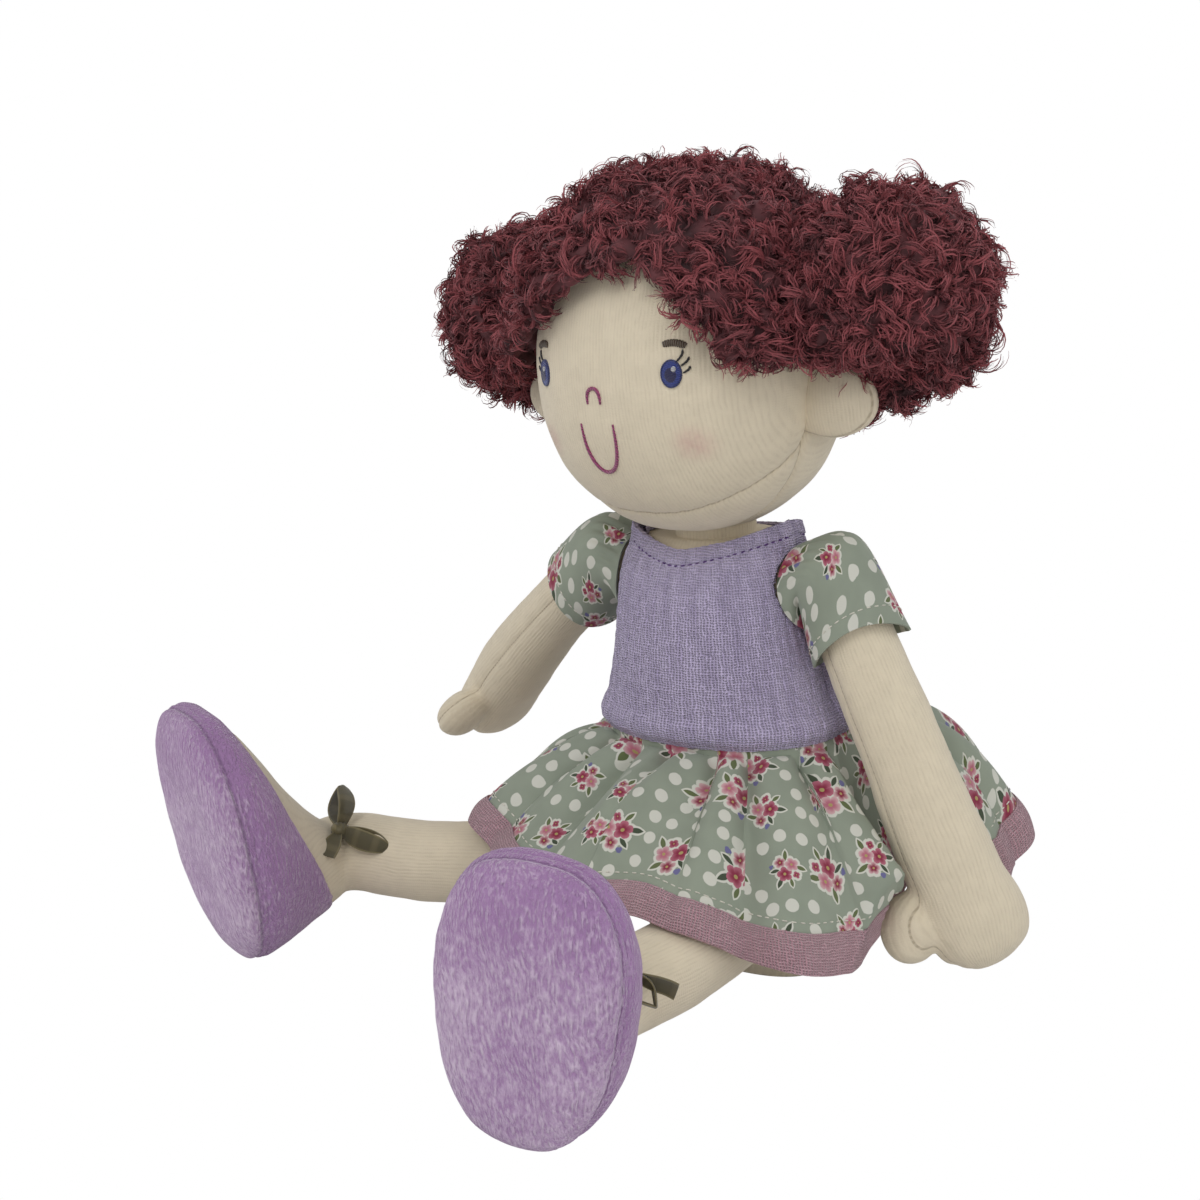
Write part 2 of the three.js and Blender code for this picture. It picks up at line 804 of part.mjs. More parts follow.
// A point of the skirt moved in, towards the doll's middle, until it clears the arms and thumbs.
function pressedIn(point) {
  for (const { line, clear } of presses) {
    const nearest = line.closestPointToPoint(point, true, new THREE.Vector3());
    const inward = new THREE.Vector3(-nearest.x, -nearest.y, 0).normalize();
    const away = new THREE.Vector3().subVectors(point, nearest);
    const along = away.dot(inward);
    const aside = Math.sqrt(Math.max(away.lengthSq() - along ** 2, 0));
    if (aside >= clear || along < -2 * clear) continue;
    const needed = Math.sqrt(clear ** 2 - aside ** 2);
    if (along < needed) point.addScaledVector(inward, needed - along);
  }
  return point;
}

const skirtLength = Math.hypot(skirt.hemRadius - torso.halfWidth, skirt.waistZ - skirt.hemZ);
const bandShare = 1 - skirt.band / skirtLength;
const bandGap = skirt.bandGap / skirtLength;
const skirtSurface = (u, v) => {
  const row = v * skirt.steps - 1;
  return skirtPoint(u, row <= 0 ? row : (row / (skirt.steps - 1)) * (bandShare - bandGap));
};
const bandSurface = (u, v) => skirtPoint(u, bandShare + bandGap + v * (1 - bandShare - bandGap));
const skirtSolid = sheetSolid(skirtSurface, skirt.around, skirt.steps, cottonPly);
const bandSolid = sheetSolid(bandSurface, skirt.around, skirt.bandSteps, skirt.bandPly);
addPiece(doll, 'skirt', skirtSolid, sage);
addPiece(doll, 'skirt_hem_band', bandSolid, pink);

// Sleeves

// A point of the armhole's edge on the bodice, or outside it by a distance.
function armholePoint(side, angle, off) {
  const grow = bodice.off + gauzePly + off;
  const y = (bodice.armholeHalfDepth + cottonPly) * Math.cos(angle);
  const z = armholeZ + (bodice.armholeHalfHeight + cottonPly) * Math.sin(angle);
  const [width, depth] = torsoHalves(z - grow / 4);
  const across = Math.min(Math.abs(y) / (depth + grow), 1);
  const x = (width + grow) * (1 - across ** torso.squareness) ** (1 / torso.squareness);
  return new THREE.Vector3(sign[side] * x, y, z);
}

function sleevePoint(side, u, v) {
  const angle = 2 * Math.PI * u;
  const start = armholePoint(side, angle, seam + cottonPly);
  const toUpper = upperBody.matrixWorld.clone().invert().multiply(armGroup[side].matrixWorld);
  const ringAt = (along, radius, outward) =>
    new THREE.Vector3(
      sign[side] * (radius * Math.sin(angle) + outward),
      radius * Math.cos(angle),
      -along,
    ).applyMatrix4(toUpper);
  const middle = ringAt(sleeve.midAlong, sleeve.midRadius, 0);
  const root = new THREE.Vector3(sign[side] * shoulder.x, 0, shoulderZ);
  const upright = new THREE.Vector3(
    sign[side] * shoulder.x,
    sleeve.midRadius * Math.cos(angle),
    shoulderZ + sleeve.midRadius * Math.sin(angle),
  );
  middle.lerp(upright, sleeve.uprightShare).sub(root).setLength(sleeve.midRadius).add(root);
  const end = ringAt(sleeve.along, sleeve.hemRadius, sleeve.outward);
  const curve = new THREE.CatmullRomCurve3([start, middle, end], false, 'centripetal');
  return curve.getPoint(v);
}

for (const side of sides) {
  const surface = (u, v) => sleevePoint(side, u, v);
  const solid = sheetSolid(surface, sleeve.around, sleeve.steps, cottonPly);
  addPiece(upperBody, `sleeve_${side}`, solid, sage);
}

// Neck

const neckSolid = rodSolid(neckLow, neckHigh, neck.radius, neck.sides);
addPiece(upperBody, 'neck', neckSolid, jersey);

// Head

function headForm(grow, bump) {
  return roundSolid(
    head.halfWidth + grow,
    head.halfDepth + grow,
    head.halfHeight + grow,
    head.squareness,
    head.sides,
    head.bands,
    bump,
  );
}

// The socket in the head: a ball's room and, below it, a cone that lets the head nod.
function neckSocket() {
  const wide = neck.radius + neck.play;
  const ring = (drop) => {
    const points = [];
    for (let i = 0; i < neck.sides; i++) {
      const angle = (2 * Math.PI * i) / neck.sides;
      const radius = wide + drop * Math.tan(neck.nodRoom);
      points.push(new THREE.Vector3(radius * Math.cos(angle), radius * Math.sin(angle), neckHighZ - drop));
    }
    return points;
  };
  const ball = rodSolid(neckLow, neckHigh, wide, neck.sides);
  return ball.add(loftSolid([ring(neck.radius), ring(0)]));
}
const neckHole = seenFrom(neckSocket(), upperBody, headGroup);
const stuffedHead = headForm(0).subtract(neckHole);

// What lies below the jaw seam, moved up by half a seam or down by it.
function belowJaw(shift) {
  const run = 2 * overrun;
  const depth = jawSeam.frontZ - 2 * overrun;
  const rise = (y) => jawSeam.frontZ + jawSeam.slopeShare * (y - jawSeam.frontY) + shift;
  const ring = (x) => [
    new THREE.Vector3(x, -run, depth),
    new THREE.Vector3(x, run, depth),
    new THREE.Vector3(x, run, rise(run)),
    new THREE.Vector3(x, -run, rise(-run)),
  ];
  return loftSolid([ring(-run), ring(run)]);
}

const behindEars = box(
  new THREE.Vector3(-far, earSeamY - seam / 2, -far),
  new THREE.Vector3(far, far, far),
);
const behindEarsCut = box(
  new THREE.Vector3(-far, earSeamY + seam / 2, -far),
  new THREE.Vector3(far, far, far),
);
const faceSolid = stuffedHead.subtract(behindEars).subtract(belowJaw(seam / 2));
const jawSolid = stuffedHead.subtract(behindEars).intersect(belowJaw(-seam / 2));
const headBackSolid = stuffedHead.intersect(behindEarsCut);
addPiece(headGroup, 'face', faceSolid, jersey);
addPiece(headGroup, 'jaw_gusset', jawSolid, jersey);
addPiece(headGroup, 'head_back', headBackSolid, jersey);

// Ears

function earSolid(side, grow) {
  const form = roundSolid(
    ear.halfLength + grow,
    ear.halfThickness + grow,
    ear.halfHeight + grow,
    ear.squareness,
    ear.sides,
    ear.bands,
  );
  return form.translate([sign[side] * ear.x, earSeamY, ear.z]);
}

const headClear = headForm(seam);
for (const side of sides) {
  addPiece(headGroup, `ear_${side}`, earSolid(side, 0).subtract(headClear), jersey);
}

// Hair

// A gentle relief of tufts on the pile.
function tufts(shape) {
  return (angle, rise) => {
    const round = Math.cos(shape.tuftsRound * angle);
    const high = Math.sin(2 * shape.tuftsHigh * rise);
    return shape.tuftDepth * round * high * Math.cos(rise) ** 2;
  };
}

// What the face opening takes out of the hair cap: its outline in front view, from the front to the ears.
function faceOpening() {
  const edge = hair.hairlineShares.map(([x, z]) => [x * head.halfWidth, z * head.halfHeight]);
  const low = -2 * head.halfHeight;
  const outline = [[edge[0][0], low], ...edge, [edge[edge.length - 1][0], low]];
  const ring = (y) => outline.map(([x, z]) => new THREE.Vector3(x, y, z));
  return loftSolid([ring(-far), ring(hair.behindEarY)]);
}

const belowNape = box(new THREE.Vector3(-far, -far, -far), new THREE.Vector3(far, far, hair.napeZ));
const capOuter = roundSolid(
  head.halfWidth + hair.pile,
  head.halfDepth + hair.pile,
  head.halfHeight + hair.pile,
  head.squareness,
  hair.sides,
  hair.bands,
  tufts(hair),
);
const earsClear = union([earSolid('left', seam), earSolid('right', seam)]);
const capShell = capOuter.subtract(headClear).subtract(faceOpening());
const capSolid = capShell.subtract(belowNape).subtract(earsClear);
addPiece(headGroup, 'hair_cap', capSolid, pile);

const capClear = roundSolid(
  head.halfWidth + hair.pile + seam,
  head.halfDepth + hair.pile + seam,
  head.halfHeight + hair.pile + seam,
  head.squareness,
  hair.sides,
  hair.bands,
  tufts(hair),
);
for (const side of sides) {
  const form = roundSolid(
    bunch.halfWidth,
    bunch.halfDepth,
    bunch.halfHeight,
    2,
    bunch.sides,
    bunch.bands,
    tufts(bunch),
  ).translate([sign[side] * bunch.x, bunch.y, bunch.z]);
  const beforeEar = box(
    new THREE.Vector3(-far, -far, -far),
    new THREE.Vector3(far, earSeamY + ear.halfThickness + seam, ear.z + ear.halfHeight + seam),
  );
  const solid = form.subtract(capClear).subtract(earsClear).subtract(beforeEar);
  addPiece(headGroup, `hair_bunch_${side}`, solid, pile);
}

// Embroidery: each piece is a slice of a shell just above the face, cut to its outline.

const stitchShell = headForm(seam + stitch.height).subtract(headForm(seam));

function facePatch(outline) {
  const ring = (y) => outline.map(([x, z]) => new THREE.Vector3(x, y, z));
  return stitchShell.intersect(loftSolid([ring(-far), ring(0)]));
}

function ovalOutline(x, z, halfWidth, halfHeight, count) {
  const outline = [];
  for (let i = 0; i < count; i++) {
    const angle = (2 * Math.PI * i) / count;
    outline.push([x + halfWidth * Math.cos(angle), z + halfHeight * Math.sin(angle)]);
  }
  return outline;
}

// The outline of a line of stitches of one width along a path in front view.
function strokeOutline(path, width, steps) {
  const over = [];
  const under = [];
  for (let i = 0; i <= steps; i++) {
    const t = i / steps;
    const [x, z] = path(t);
    const [x1, z1] = path(Math.max(t - 1 / steps, 0));
    const [x2, z2] = path(Math.min(t + 1 / steps, 1));
    const length = Math.hypot(x2 - x1, z2 - z1);
    const nx = (-(z2 - z1) / length) * (width / 2);
    const nz = ((x2 - x1) / length) * (width / 2);
    over.push([x + nx, z + nz]);
    under.push([x - nx, z - nz]);
  }
  return [...under, ...over.reverse()];
}

for (const side of sides) {
  const outline = ovalOutline(sign[side] * eye.x, eye.z, eye.halfWidth, eye.halfHeight, eye.sides);
  addPiece(headGroup, `eye_${side}`, facePatch(outline), blue);
  const browPath = (t) => [
    sign[side] * brow.x + brow.halfLength * (2 * t - 1),
    brow.z + brow.rise * Math.sin(Math.PI * t),
  ];
  addPiece(headGroup, `brow_${side}`, facePatch(strokeOutline(browPath, brow.width, brow.steps)), olive);
}
const nosePath = (t) => [
  nose.halfWidth * -Math.cos(Math.PI * t),
  nose.z + nose.height * (Math.abs(Math.sin(Math.PI * t)) ** nose.fullnessShare - 1 / 2),
];
addPiece(headGroup, 'nose', facePatch(strokeOutline(nosePath, nose.width, nose.steps)), berry);
const mouthPath = (t) => [
  mouth.halfWidth * -Math.cos(Math.PI * t),
  mouth.topZ - (mouth.topZ - mouth.bottomZ) * Math.abs(Math.sin(Math.PI * t)) ** mouth.fullnessShare,
];
addPiece(headGroup, 'mouth', facePatch(strokeOutline(mouthPath, mouth.width, mouth.steps)), berry);

// Arms

function armForm(side) {
  const rings = smoothRows(arm.profileShares, arm.rings).map(([down, across, deep]) => {
    const ring = [];
    const aside = sign[side] * arm.bow * Math.sin(Math.PI * THREE.MathUtils.clamp(down, 0, 1));
    for (let i = 0; i < arm.sides; i++) {
      const angle = (-2 * Math.PI * i) / arm.sides;
      const [x, y] = roundedPoint(angle, across * arm.radius, deep * arm.radius, arm.squareness);
      ring.push(new THREE.Vector3(x + aside, y, -down * arm.length));
    }
    return ring;
  });
  const thumb = arm.thumb;
  const thumbForm = roundSolid(
    thumb.halfWidth,
    thumb.halfReach,
    thumb.halfLength,
    thumb.squareness,
    thumb.sides,
    thumb.bands,
  )
    .transform(new THREE.Matrix4().makeRotationX(-thumb.tilt).elements)
    .translate([0, -thumb.reach, -thumb.down]);
  const turn = new THREE.Matrix4().makeRotationZ(-sign[side] * arm.twist[side]);
  return moved(loftSolid(rings).add(thumbForm), turn);
}

for (const side of sides) {
  const root = shoulderRoot(side, 0);
  addPiece(upperBody, `arm_root_${side}`, root, jersey);
  // Seen from the arm, its root points up and inwards, and turns up as the arm is lifted.
  const up = new THREE.Vector3(0, 0, 1);
  const inward = new THREE.Vector3(-sign[side], 0, 0);
  const slot = fanSlot(
    up,
    inward,
    Math.PI / 2 - arm.liftHigh,
    Math.PI / 2 - arm.liftLow,
    shoulder.rootRadius + shoulder.play,
    shoulder.rootInset,
    shoulder.slotTurns,
  );
  addPiece(armGroup[side], `arm_${side}`, armForm(side).subtract(slot), jersey);
}

// Legs and feet

// Half widths of the sole's outline at a share of its height.
function soleHalfWidth(share) {
  const body = Math.max(1 - Math.abs(2 * share - 1) ** foot.squareness, 0) ** (1 / foot.squareness);
  return foot.halfWidth * body * (foot.heelShare + foot.toeWiderShare * share);
}

// The height of the ankle's middle in the foot's own frame, so that the leg lies level on the floor.
function ankleHeight(side) {
  return leg.ankleZ - foot.depth * Math.sin(foot.tiltForward[side]);
}

// A ring of the foot: the sole's outline at the front, the leg's round section behind.
function footRing(side, y, blend, shrink, swell) {
  const ring = [];
  const round = leg.radius * leg.profileShares[leg.profileShares.length - 1][1];
  for (let i = 0; i < foot.sides; i++) {
    const angle = (2 * Math.PI * i) / foot.sides;
    const share = (1 + Math.sin(angle)) / 2;
    const aside = Math.sign(Math.cos(angle)) * soleHalfWidth(share) * shrink;
    const soleX = aside + swell * Math.cos(angle);
    const soleZ = foot.height * (1 + Math.sin(angle) * shrink) / 2 + swell * Math.max(Math.sin(angle), 0);
    const legX = round * Math.cos(angle);
    const legZ = ankleHeight(side) + round * Math.sin(angle);
    const x = THREE.MathUtils.lerp(soleX, legX, blend);
    const z = THREE.MathUtils.lerp(soleZ, legZ, blend);
    ring.push(new THREE.Vector3(x, y, z));
  }
  return ring;
}

// The ring at a share of the way from the sole's seam to the ankle.
function footRingAt(side, t) {
  const blend = THREE.MathUtils.smoothstep(t, 0, 1) ** foot.upperFullnessShare;
  const swell = foot.upperSwell * Math.sin(Math.PI * Math.min(2 * t, 1));
  return footRing(side, seam / 2 + t * foot.depth, blend, 1, swell);
}

function footForm(side) {
  const rings = [];
  for (let i = 0; i <= foot.rings; i++) {
    rings.push(footRingAt(side, i / foot.rings));
  }
  return loftSolid(rings);
}

function soleForm(side) {
  const rings = [footRing(side, -seam / 2, 0, 1, 0)];
  for (let i = 1; i <= foot.soleRings; i++) {
    const turn = (Math.PI / 2) * (i / (foot.soleRings + foot.soleFullnessShare));
    const shrink = 1 - foot.soleShrinkShare * (1 - Math.cos(turn));
    rings.unshift(footRing(side, -seam / 2 - foot.soleDome * Math.sin(turn), 0, shrink, 0));
  }
  return loftSolid(rings);
}

function legTube(side) {
  const toLeg = legGroup[side].matrixWorld.clone().invert().multiply(footGroup[side].matrixWorld);
  const ankle = new THREE.Vector3(0, foot.depth - seam, ankleHeight(side)).applyMatrix4(toLeg);
  const root = new THREE.Vector3(0, -hip.rootReach, hip.z);
  const way = new THREE.CatmullRomCurve3([
    root,
    new THREE.Vector3().lerpVectors(root, ankle, leg.bendShare).setX(ankle.x * leg.bendAsideShare),
    ankle,
    new THREE.Vector3(0, foot.depth / 2, ankleHeight(side)).applyMatrix4(toLeg),
  ], false, 'centripetal');
  const shares = smoothRows(leg.profileShares, leg.rings);
  const rings = [];
  const flatUp = new THREE.Vector3(0, 0, 1);
  for (let i = 0; i <= leg.rings; i++) {
    const t = i / leg.rings;
    const middle = way.getPoint(t);
    const ahead = way.getTangent(t);
    const across = new THREE.Vector3().crossVectors(flatUp, ahead).normalize();
    const up = new THREE.Vector3().crossVectors(ahead, across);
    const radius = leg.radius * shares[i][1];
    const ring = [];
    for (let k = 0; k < leg.sides; k++) {
      const angle = (2 * Math.PI * k) / leg.sides;
      ring.push(
        middle.clone()
          .addScaledVector(across, radius * Math.cos(angle))
          .addScaledVector(up, radius * Math.sin(angle)),
      );
    }
    rings.push(ring);
  }
  const ball = roundSolid(leg.radius, leg.radius, leg.radius, 2, leg.sides, leg.rings)
    .translate([0, -hip.rootReach, hip.z]);
  return loftSolid(rings).add(ball);
}

// What lies behind the shoe's edge, or before it.
function shoeEdge(shift) {
  const run = 3 * overrun;
  const depth = (z) => foot.upperDepth - foot.upperSlopeShare * (z - leg.ankleZ) + shift;
  const ring = (x) => [
    new THREE.Vector3(x, depth(-run), -run),
    new THREE.Vector3(x, run, -run),
    new THREE.Vector3(x, run, run),
    new THREE.Vector3(x, depth(run), run),
  ];
  return loftSolid([ring(-run), ring(run)]);
}

const legSolids = {};
for (const side of sides) {
  const group = footGroup[side];
  addPiece(legGroup[side], `leg_root_${side}`, hipRoll(0).add(hipTongue(0)), jersey);
  // Seen from the leg, its root points back, and turns down as the leg swings down.
  let slot = fanSlot(
    new THREE.Vector3(0, 1, 0),
    new THREE.Vector3(0, 0, 1),
    -leg.swingDown,
    leg.swingUp,
    hip.rootRadius + hip.play,
    hip.rootReach,
    hip.slotTurns,
  ).translate([0, -hip.rootReach, hip.z]);
  for (let i = 0; i <= hip.slotTurns; i++) {
    const share = THREE.MathUtils.lerp(hip.rollMeetsShare, 1, i / hip.slotTurns);
    slot = slot.add(hipRollSeen(leg.swingDown * share));
  }
  const tube = seenFrom(legTube(side), legGroup[side], group);
  const whole = tube.add(footForm(side)).intersect(shoeEdge(seam / 2));
  const legSolid = whole.subtract(seenFrom(slot, legGroup[side], group));
  legSolids[side] = legSolid;
  addPiece(group, `leg_${side}`, legSolid, jersey);
  const beyond = shoeEdge(-seam / 2);
  addPiece(group, `shoe_upper_${side}`, footForm(side).subtract(beyond), plush);
  addPiece(group, `shoe_sole_${side}`, soleForm(side), plush);
}

// Bows

// A flat ribbon along a path of points, its width across the path and its thickness off it.
function ribbonSolid(path, widthAxis) {
  const rings = path.map((p, i) => {
    const before = path[Math.max(i - 1, 0)];
    const after = path[Math.min(i + 1, path.length - 1)];
    const ahead = after.clone().sub(before).normalize();
    const across = widthAxis.clone().addScaledVector(ahead, -widthAxis.dot(ahead)).normalize();
    const off = new THREE.Vector3().crossVectors(ahead, across);
    const wide = across.multiplyScalar(bow.ribbon / 2);
    const thick = off.multiplyScalar(bow.ply / 2);
    return [
      p.clone().sub(wide).sub(thick),
      p.clone().add(wide).sub(thick),
      p.clone().add(wide).add(thick),
      p.clone().sub(wide).add(thick),
    ];
  });
  return loftSolid(rings);
}

// One half of the bow round the knot's middle: a loop that comes back to the knot, and a tail.
function bowHalf(handed) {
  const width = new THREE.Vector3(0, 1, 0);
  const loopPath = [];
  for (let i = 0; i <= bow.steps; i++) {
    const angle = Math.PI * ((2 * i) / bow.steps - 1);
    const out = bow.apart / 2 + (bow.loop * (1 + Math.cos(angle))) / 2;
    const droop = bow.loopDrop * (out / (bow.loop + bow.apart)) ** 2;
    const rise = bow.loopRise * Math.sin(angle) + (bow.ply * angle) / Math.PI - droop;
    loopPath.push(new THREE.Vector3(handed * out, 0, rise));
  }
  const tailPath = [];
  for (let i = 0; i <= bow.tailSteps; i++) {
    const t = i / bow.tailSteps;
    tailPath.push(new THREE.Vector3(handed * bow.tail * t, bow.tailAside * t, -bow.tailDrop * t * t));
  }
  return ribbonSolid(loopPath, width).add(ribbonSolid(tailPath, width));
}

// The height of the instep's top over the floor of the foot's frame, at a depth behind the sole.
function instepTop(side, y) {
  return Math.max(...footRingAt(side, (y - seam / 2) / foot.depth).map((p) => p.z));
}

for (const side of sides) {
  const shape = bow.knot;
  const knot = roundSolid(shape.halfWidth, shape.halfDepth, shape.halfHeight, 2, shape.sides, shape.bands);
  const tilt = new THREE.Matrix4().makeRotationX(-bow.tilt);
  const up = new THREE.Vector3(0, 0, 1).transformDirection(tilt);
  const foothold = new THREE.Vector3(0, bow.behindSole, instepTop(side, bow.behindSole));
  const place = foothold.addScaledVector(up, shape.halfHeight);
  const whole = moved(knot.add(bowHalf(1)).add(bowHalf(-1)), tilt).translate(place.toArray());
  const seat = legSolids[side].translate(up.multiplyScalar(seam).toArray());
  addPiece(footGroup[side], `bow_${side}`, whole.subtract(seat), olive);
}

export default doll;
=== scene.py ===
"""Rag doll: the looks of a stuffed jersey doll in a gathered dress, built round its CAD frame.

Sizes below are millimetres, as in the part's source, and meshes are made in metres.
"""

import math

import bmesh
import bpy
import numpy as np
from mathutils import Matrix, Vector


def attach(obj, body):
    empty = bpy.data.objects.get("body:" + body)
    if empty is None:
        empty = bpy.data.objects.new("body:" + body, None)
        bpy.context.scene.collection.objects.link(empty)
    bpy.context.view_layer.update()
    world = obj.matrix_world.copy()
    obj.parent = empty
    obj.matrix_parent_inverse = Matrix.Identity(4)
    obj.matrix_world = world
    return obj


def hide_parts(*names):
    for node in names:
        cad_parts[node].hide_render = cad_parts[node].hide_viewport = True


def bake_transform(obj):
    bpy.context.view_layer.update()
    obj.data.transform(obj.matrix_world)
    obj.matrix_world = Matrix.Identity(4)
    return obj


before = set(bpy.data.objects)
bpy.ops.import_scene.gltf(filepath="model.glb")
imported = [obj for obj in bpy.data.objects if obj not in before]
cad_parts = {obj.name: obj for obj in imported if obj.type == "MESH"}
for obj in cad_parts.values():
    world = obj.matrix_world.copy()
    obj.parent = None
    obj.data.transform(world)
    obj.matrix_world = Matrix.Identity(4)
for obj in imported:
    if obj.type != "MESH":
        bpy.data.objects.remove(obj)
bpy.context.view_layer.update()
MM = 0.001
TAU = 2 * math.pi
SIGN = {"left": 1, "right": -1}
rng = np.random.default_rng(11)


def rot(axis, degrees):
    return Matrix.Rotation(math.radians(degrees), 4, axis)


def at(x, y, z):
    return Matrix.Translation((x, y, z))


# Where the shoulders and hips are, how long an arm is and how far its tube bows out
SHOULDER_X, SHOULDER_Z, HIP_X, HIP_Y = 41, 131.5, 27, -25.5
ARM_LONG, ARM_BOW = 129, 3.5
# The frames that the CAD groups have, in millimetres and degrees
UPPER = rot("X", 2.8) @ rot("Y", -3.6)
HEAD = UPPER @ at(0, -6, 195)
LIFT = {"left": 21, "right": 50}
SWING = {"left": 2, "right": 18}
TWIST = {"left": 35, "right": -15}
TURN_OUT = {"left": 5, "right": 48.5}
REACH = {"left": 112, "right": 122}
TILT = {"left": 8, "right": 11}
FOOT_TURN = {"left": 8, "right": -35}
FOOT_SHIFT = {"left": at(-2.3, -1.9, 0), "right": at(-3.3, -2.8, 0)}
SEAM_TURN = {"left": math.radians(14), "right": 0.0}
ARM, TURNED, LEG, FOOT = {}, {}, {}, {}
for side, sign in SIGN.items():
    shoulder = UPPER @ at(sign * SHOULDER_X, 0, SHOULDER_Z)
    ARM[side] = shoulder @ rot("X", SWING[side]) @ rot("Y", -sign * LIFT[side])
    TURNED[side] = ARM[side] @ rot("Z", -sign * TWIST[side])
    LEG[side] = at(sign * HIP_X, HIP_Y, 0) @ rot("Z", sign * TURN_OUT[side])
    heel = FOOT_SHIFT[side] @ LEG[side] @ at(0, -REACH[side], 0)
    FOOT[side] = heel @ rot("Z", sign * FOOT_TURN[side]) @ rot("X", TILT[side])


# Camera: 54 mm lens, 600 mm away, 40 degrees to the doll's left, 13.3 degrees up
azimuth, elevation = math.radians(40), math.radians(13.3)
CAMERA_AWAY, CAMERA_RIGHT, CAMERA_UP = 600, -47.9, 115.1
back = Vector((
    math.sin(azimuth) * math.cos(elevation),
    -math.cos(azimuth) * math.cos(elevation),
    math.sin(elevation),
))
right = Vector((math.cos(azimuth), math.sin(azimuth), 0))
up = back.cross(right)
camera_data = bpy.data.cameras.new("camera")
camera_data.lens = 54
camera_data.sensor_width = 36
camera_data.clip_start = 0.01
camera = bpy.data.objects.new("camera", camera_data)
bpy.context.collection.objects.link(camera)
camera.location = (back * CAMERA_AWAY + right * CAMERA_RIGHT + up * CAMERA_UP) * MM
camera.rotation_mode = "QUATERNION"
camera.rotation_quaternion = Matrix((right, up, back)).transposed().to_quaternion()
bpy.context.scene.camera = camera
bpy.context.scene.view_settings.view_transform = "Standard"


# Shader arithmetic: a Val is a socket that Python's operators turn into Math nodes

class Val:
    def __init__(self, cloth, socket):
        self.cloth = cloth
        self.socket = socket

    def op(self, kind, *others):
        node = self.cloth.node("ShaderNodeMath", operation=kind)
        for slot, value in zip(node.inputs, (self, *others)):
            self.cloth.feed(slot, value)
        return Val(self.cloth, node.outputs[0])

    def __add__(self, other):
        return self.op("ADD", other)

    __radd__ = __add__

    def __sub__(self, other):
        return self.op("SUBTRACT", other)

    def __mul__(self, other):
        return self.op("MULTIPLY", other)

    __rmul__ = __mul__

    def __truediv__(self, other):
        return self.op("DIVIDE", other)

    def __pow__(self, other):
        return self.op("POWER", other)

    def sin(self):
        return self.op("SINE")

    def cos(self):
        return self.op("COSINE")

    def abs(self):
        return self.op("ABSOLUTE")

    def sqrt(self):
        return self.op("SQRT")

    def atan2(self, other):
        return self.op("ARCTAN2", other)

    def max(self, other):
        return self.op("MAXIMUM", other)

    def step(self, low, high):
        """0 below low and 1 above high, smooth between."""
        node = self.cloth.node("ShaderNodeMapRange", interpolation_type="SMOOTHSTEP")
        for slot, value in zip(node.inputs, (self, low, high, 0, 1)):
            self.cloth.feed(slot, value)
        return Val(self.cloth, node.outputs[0])


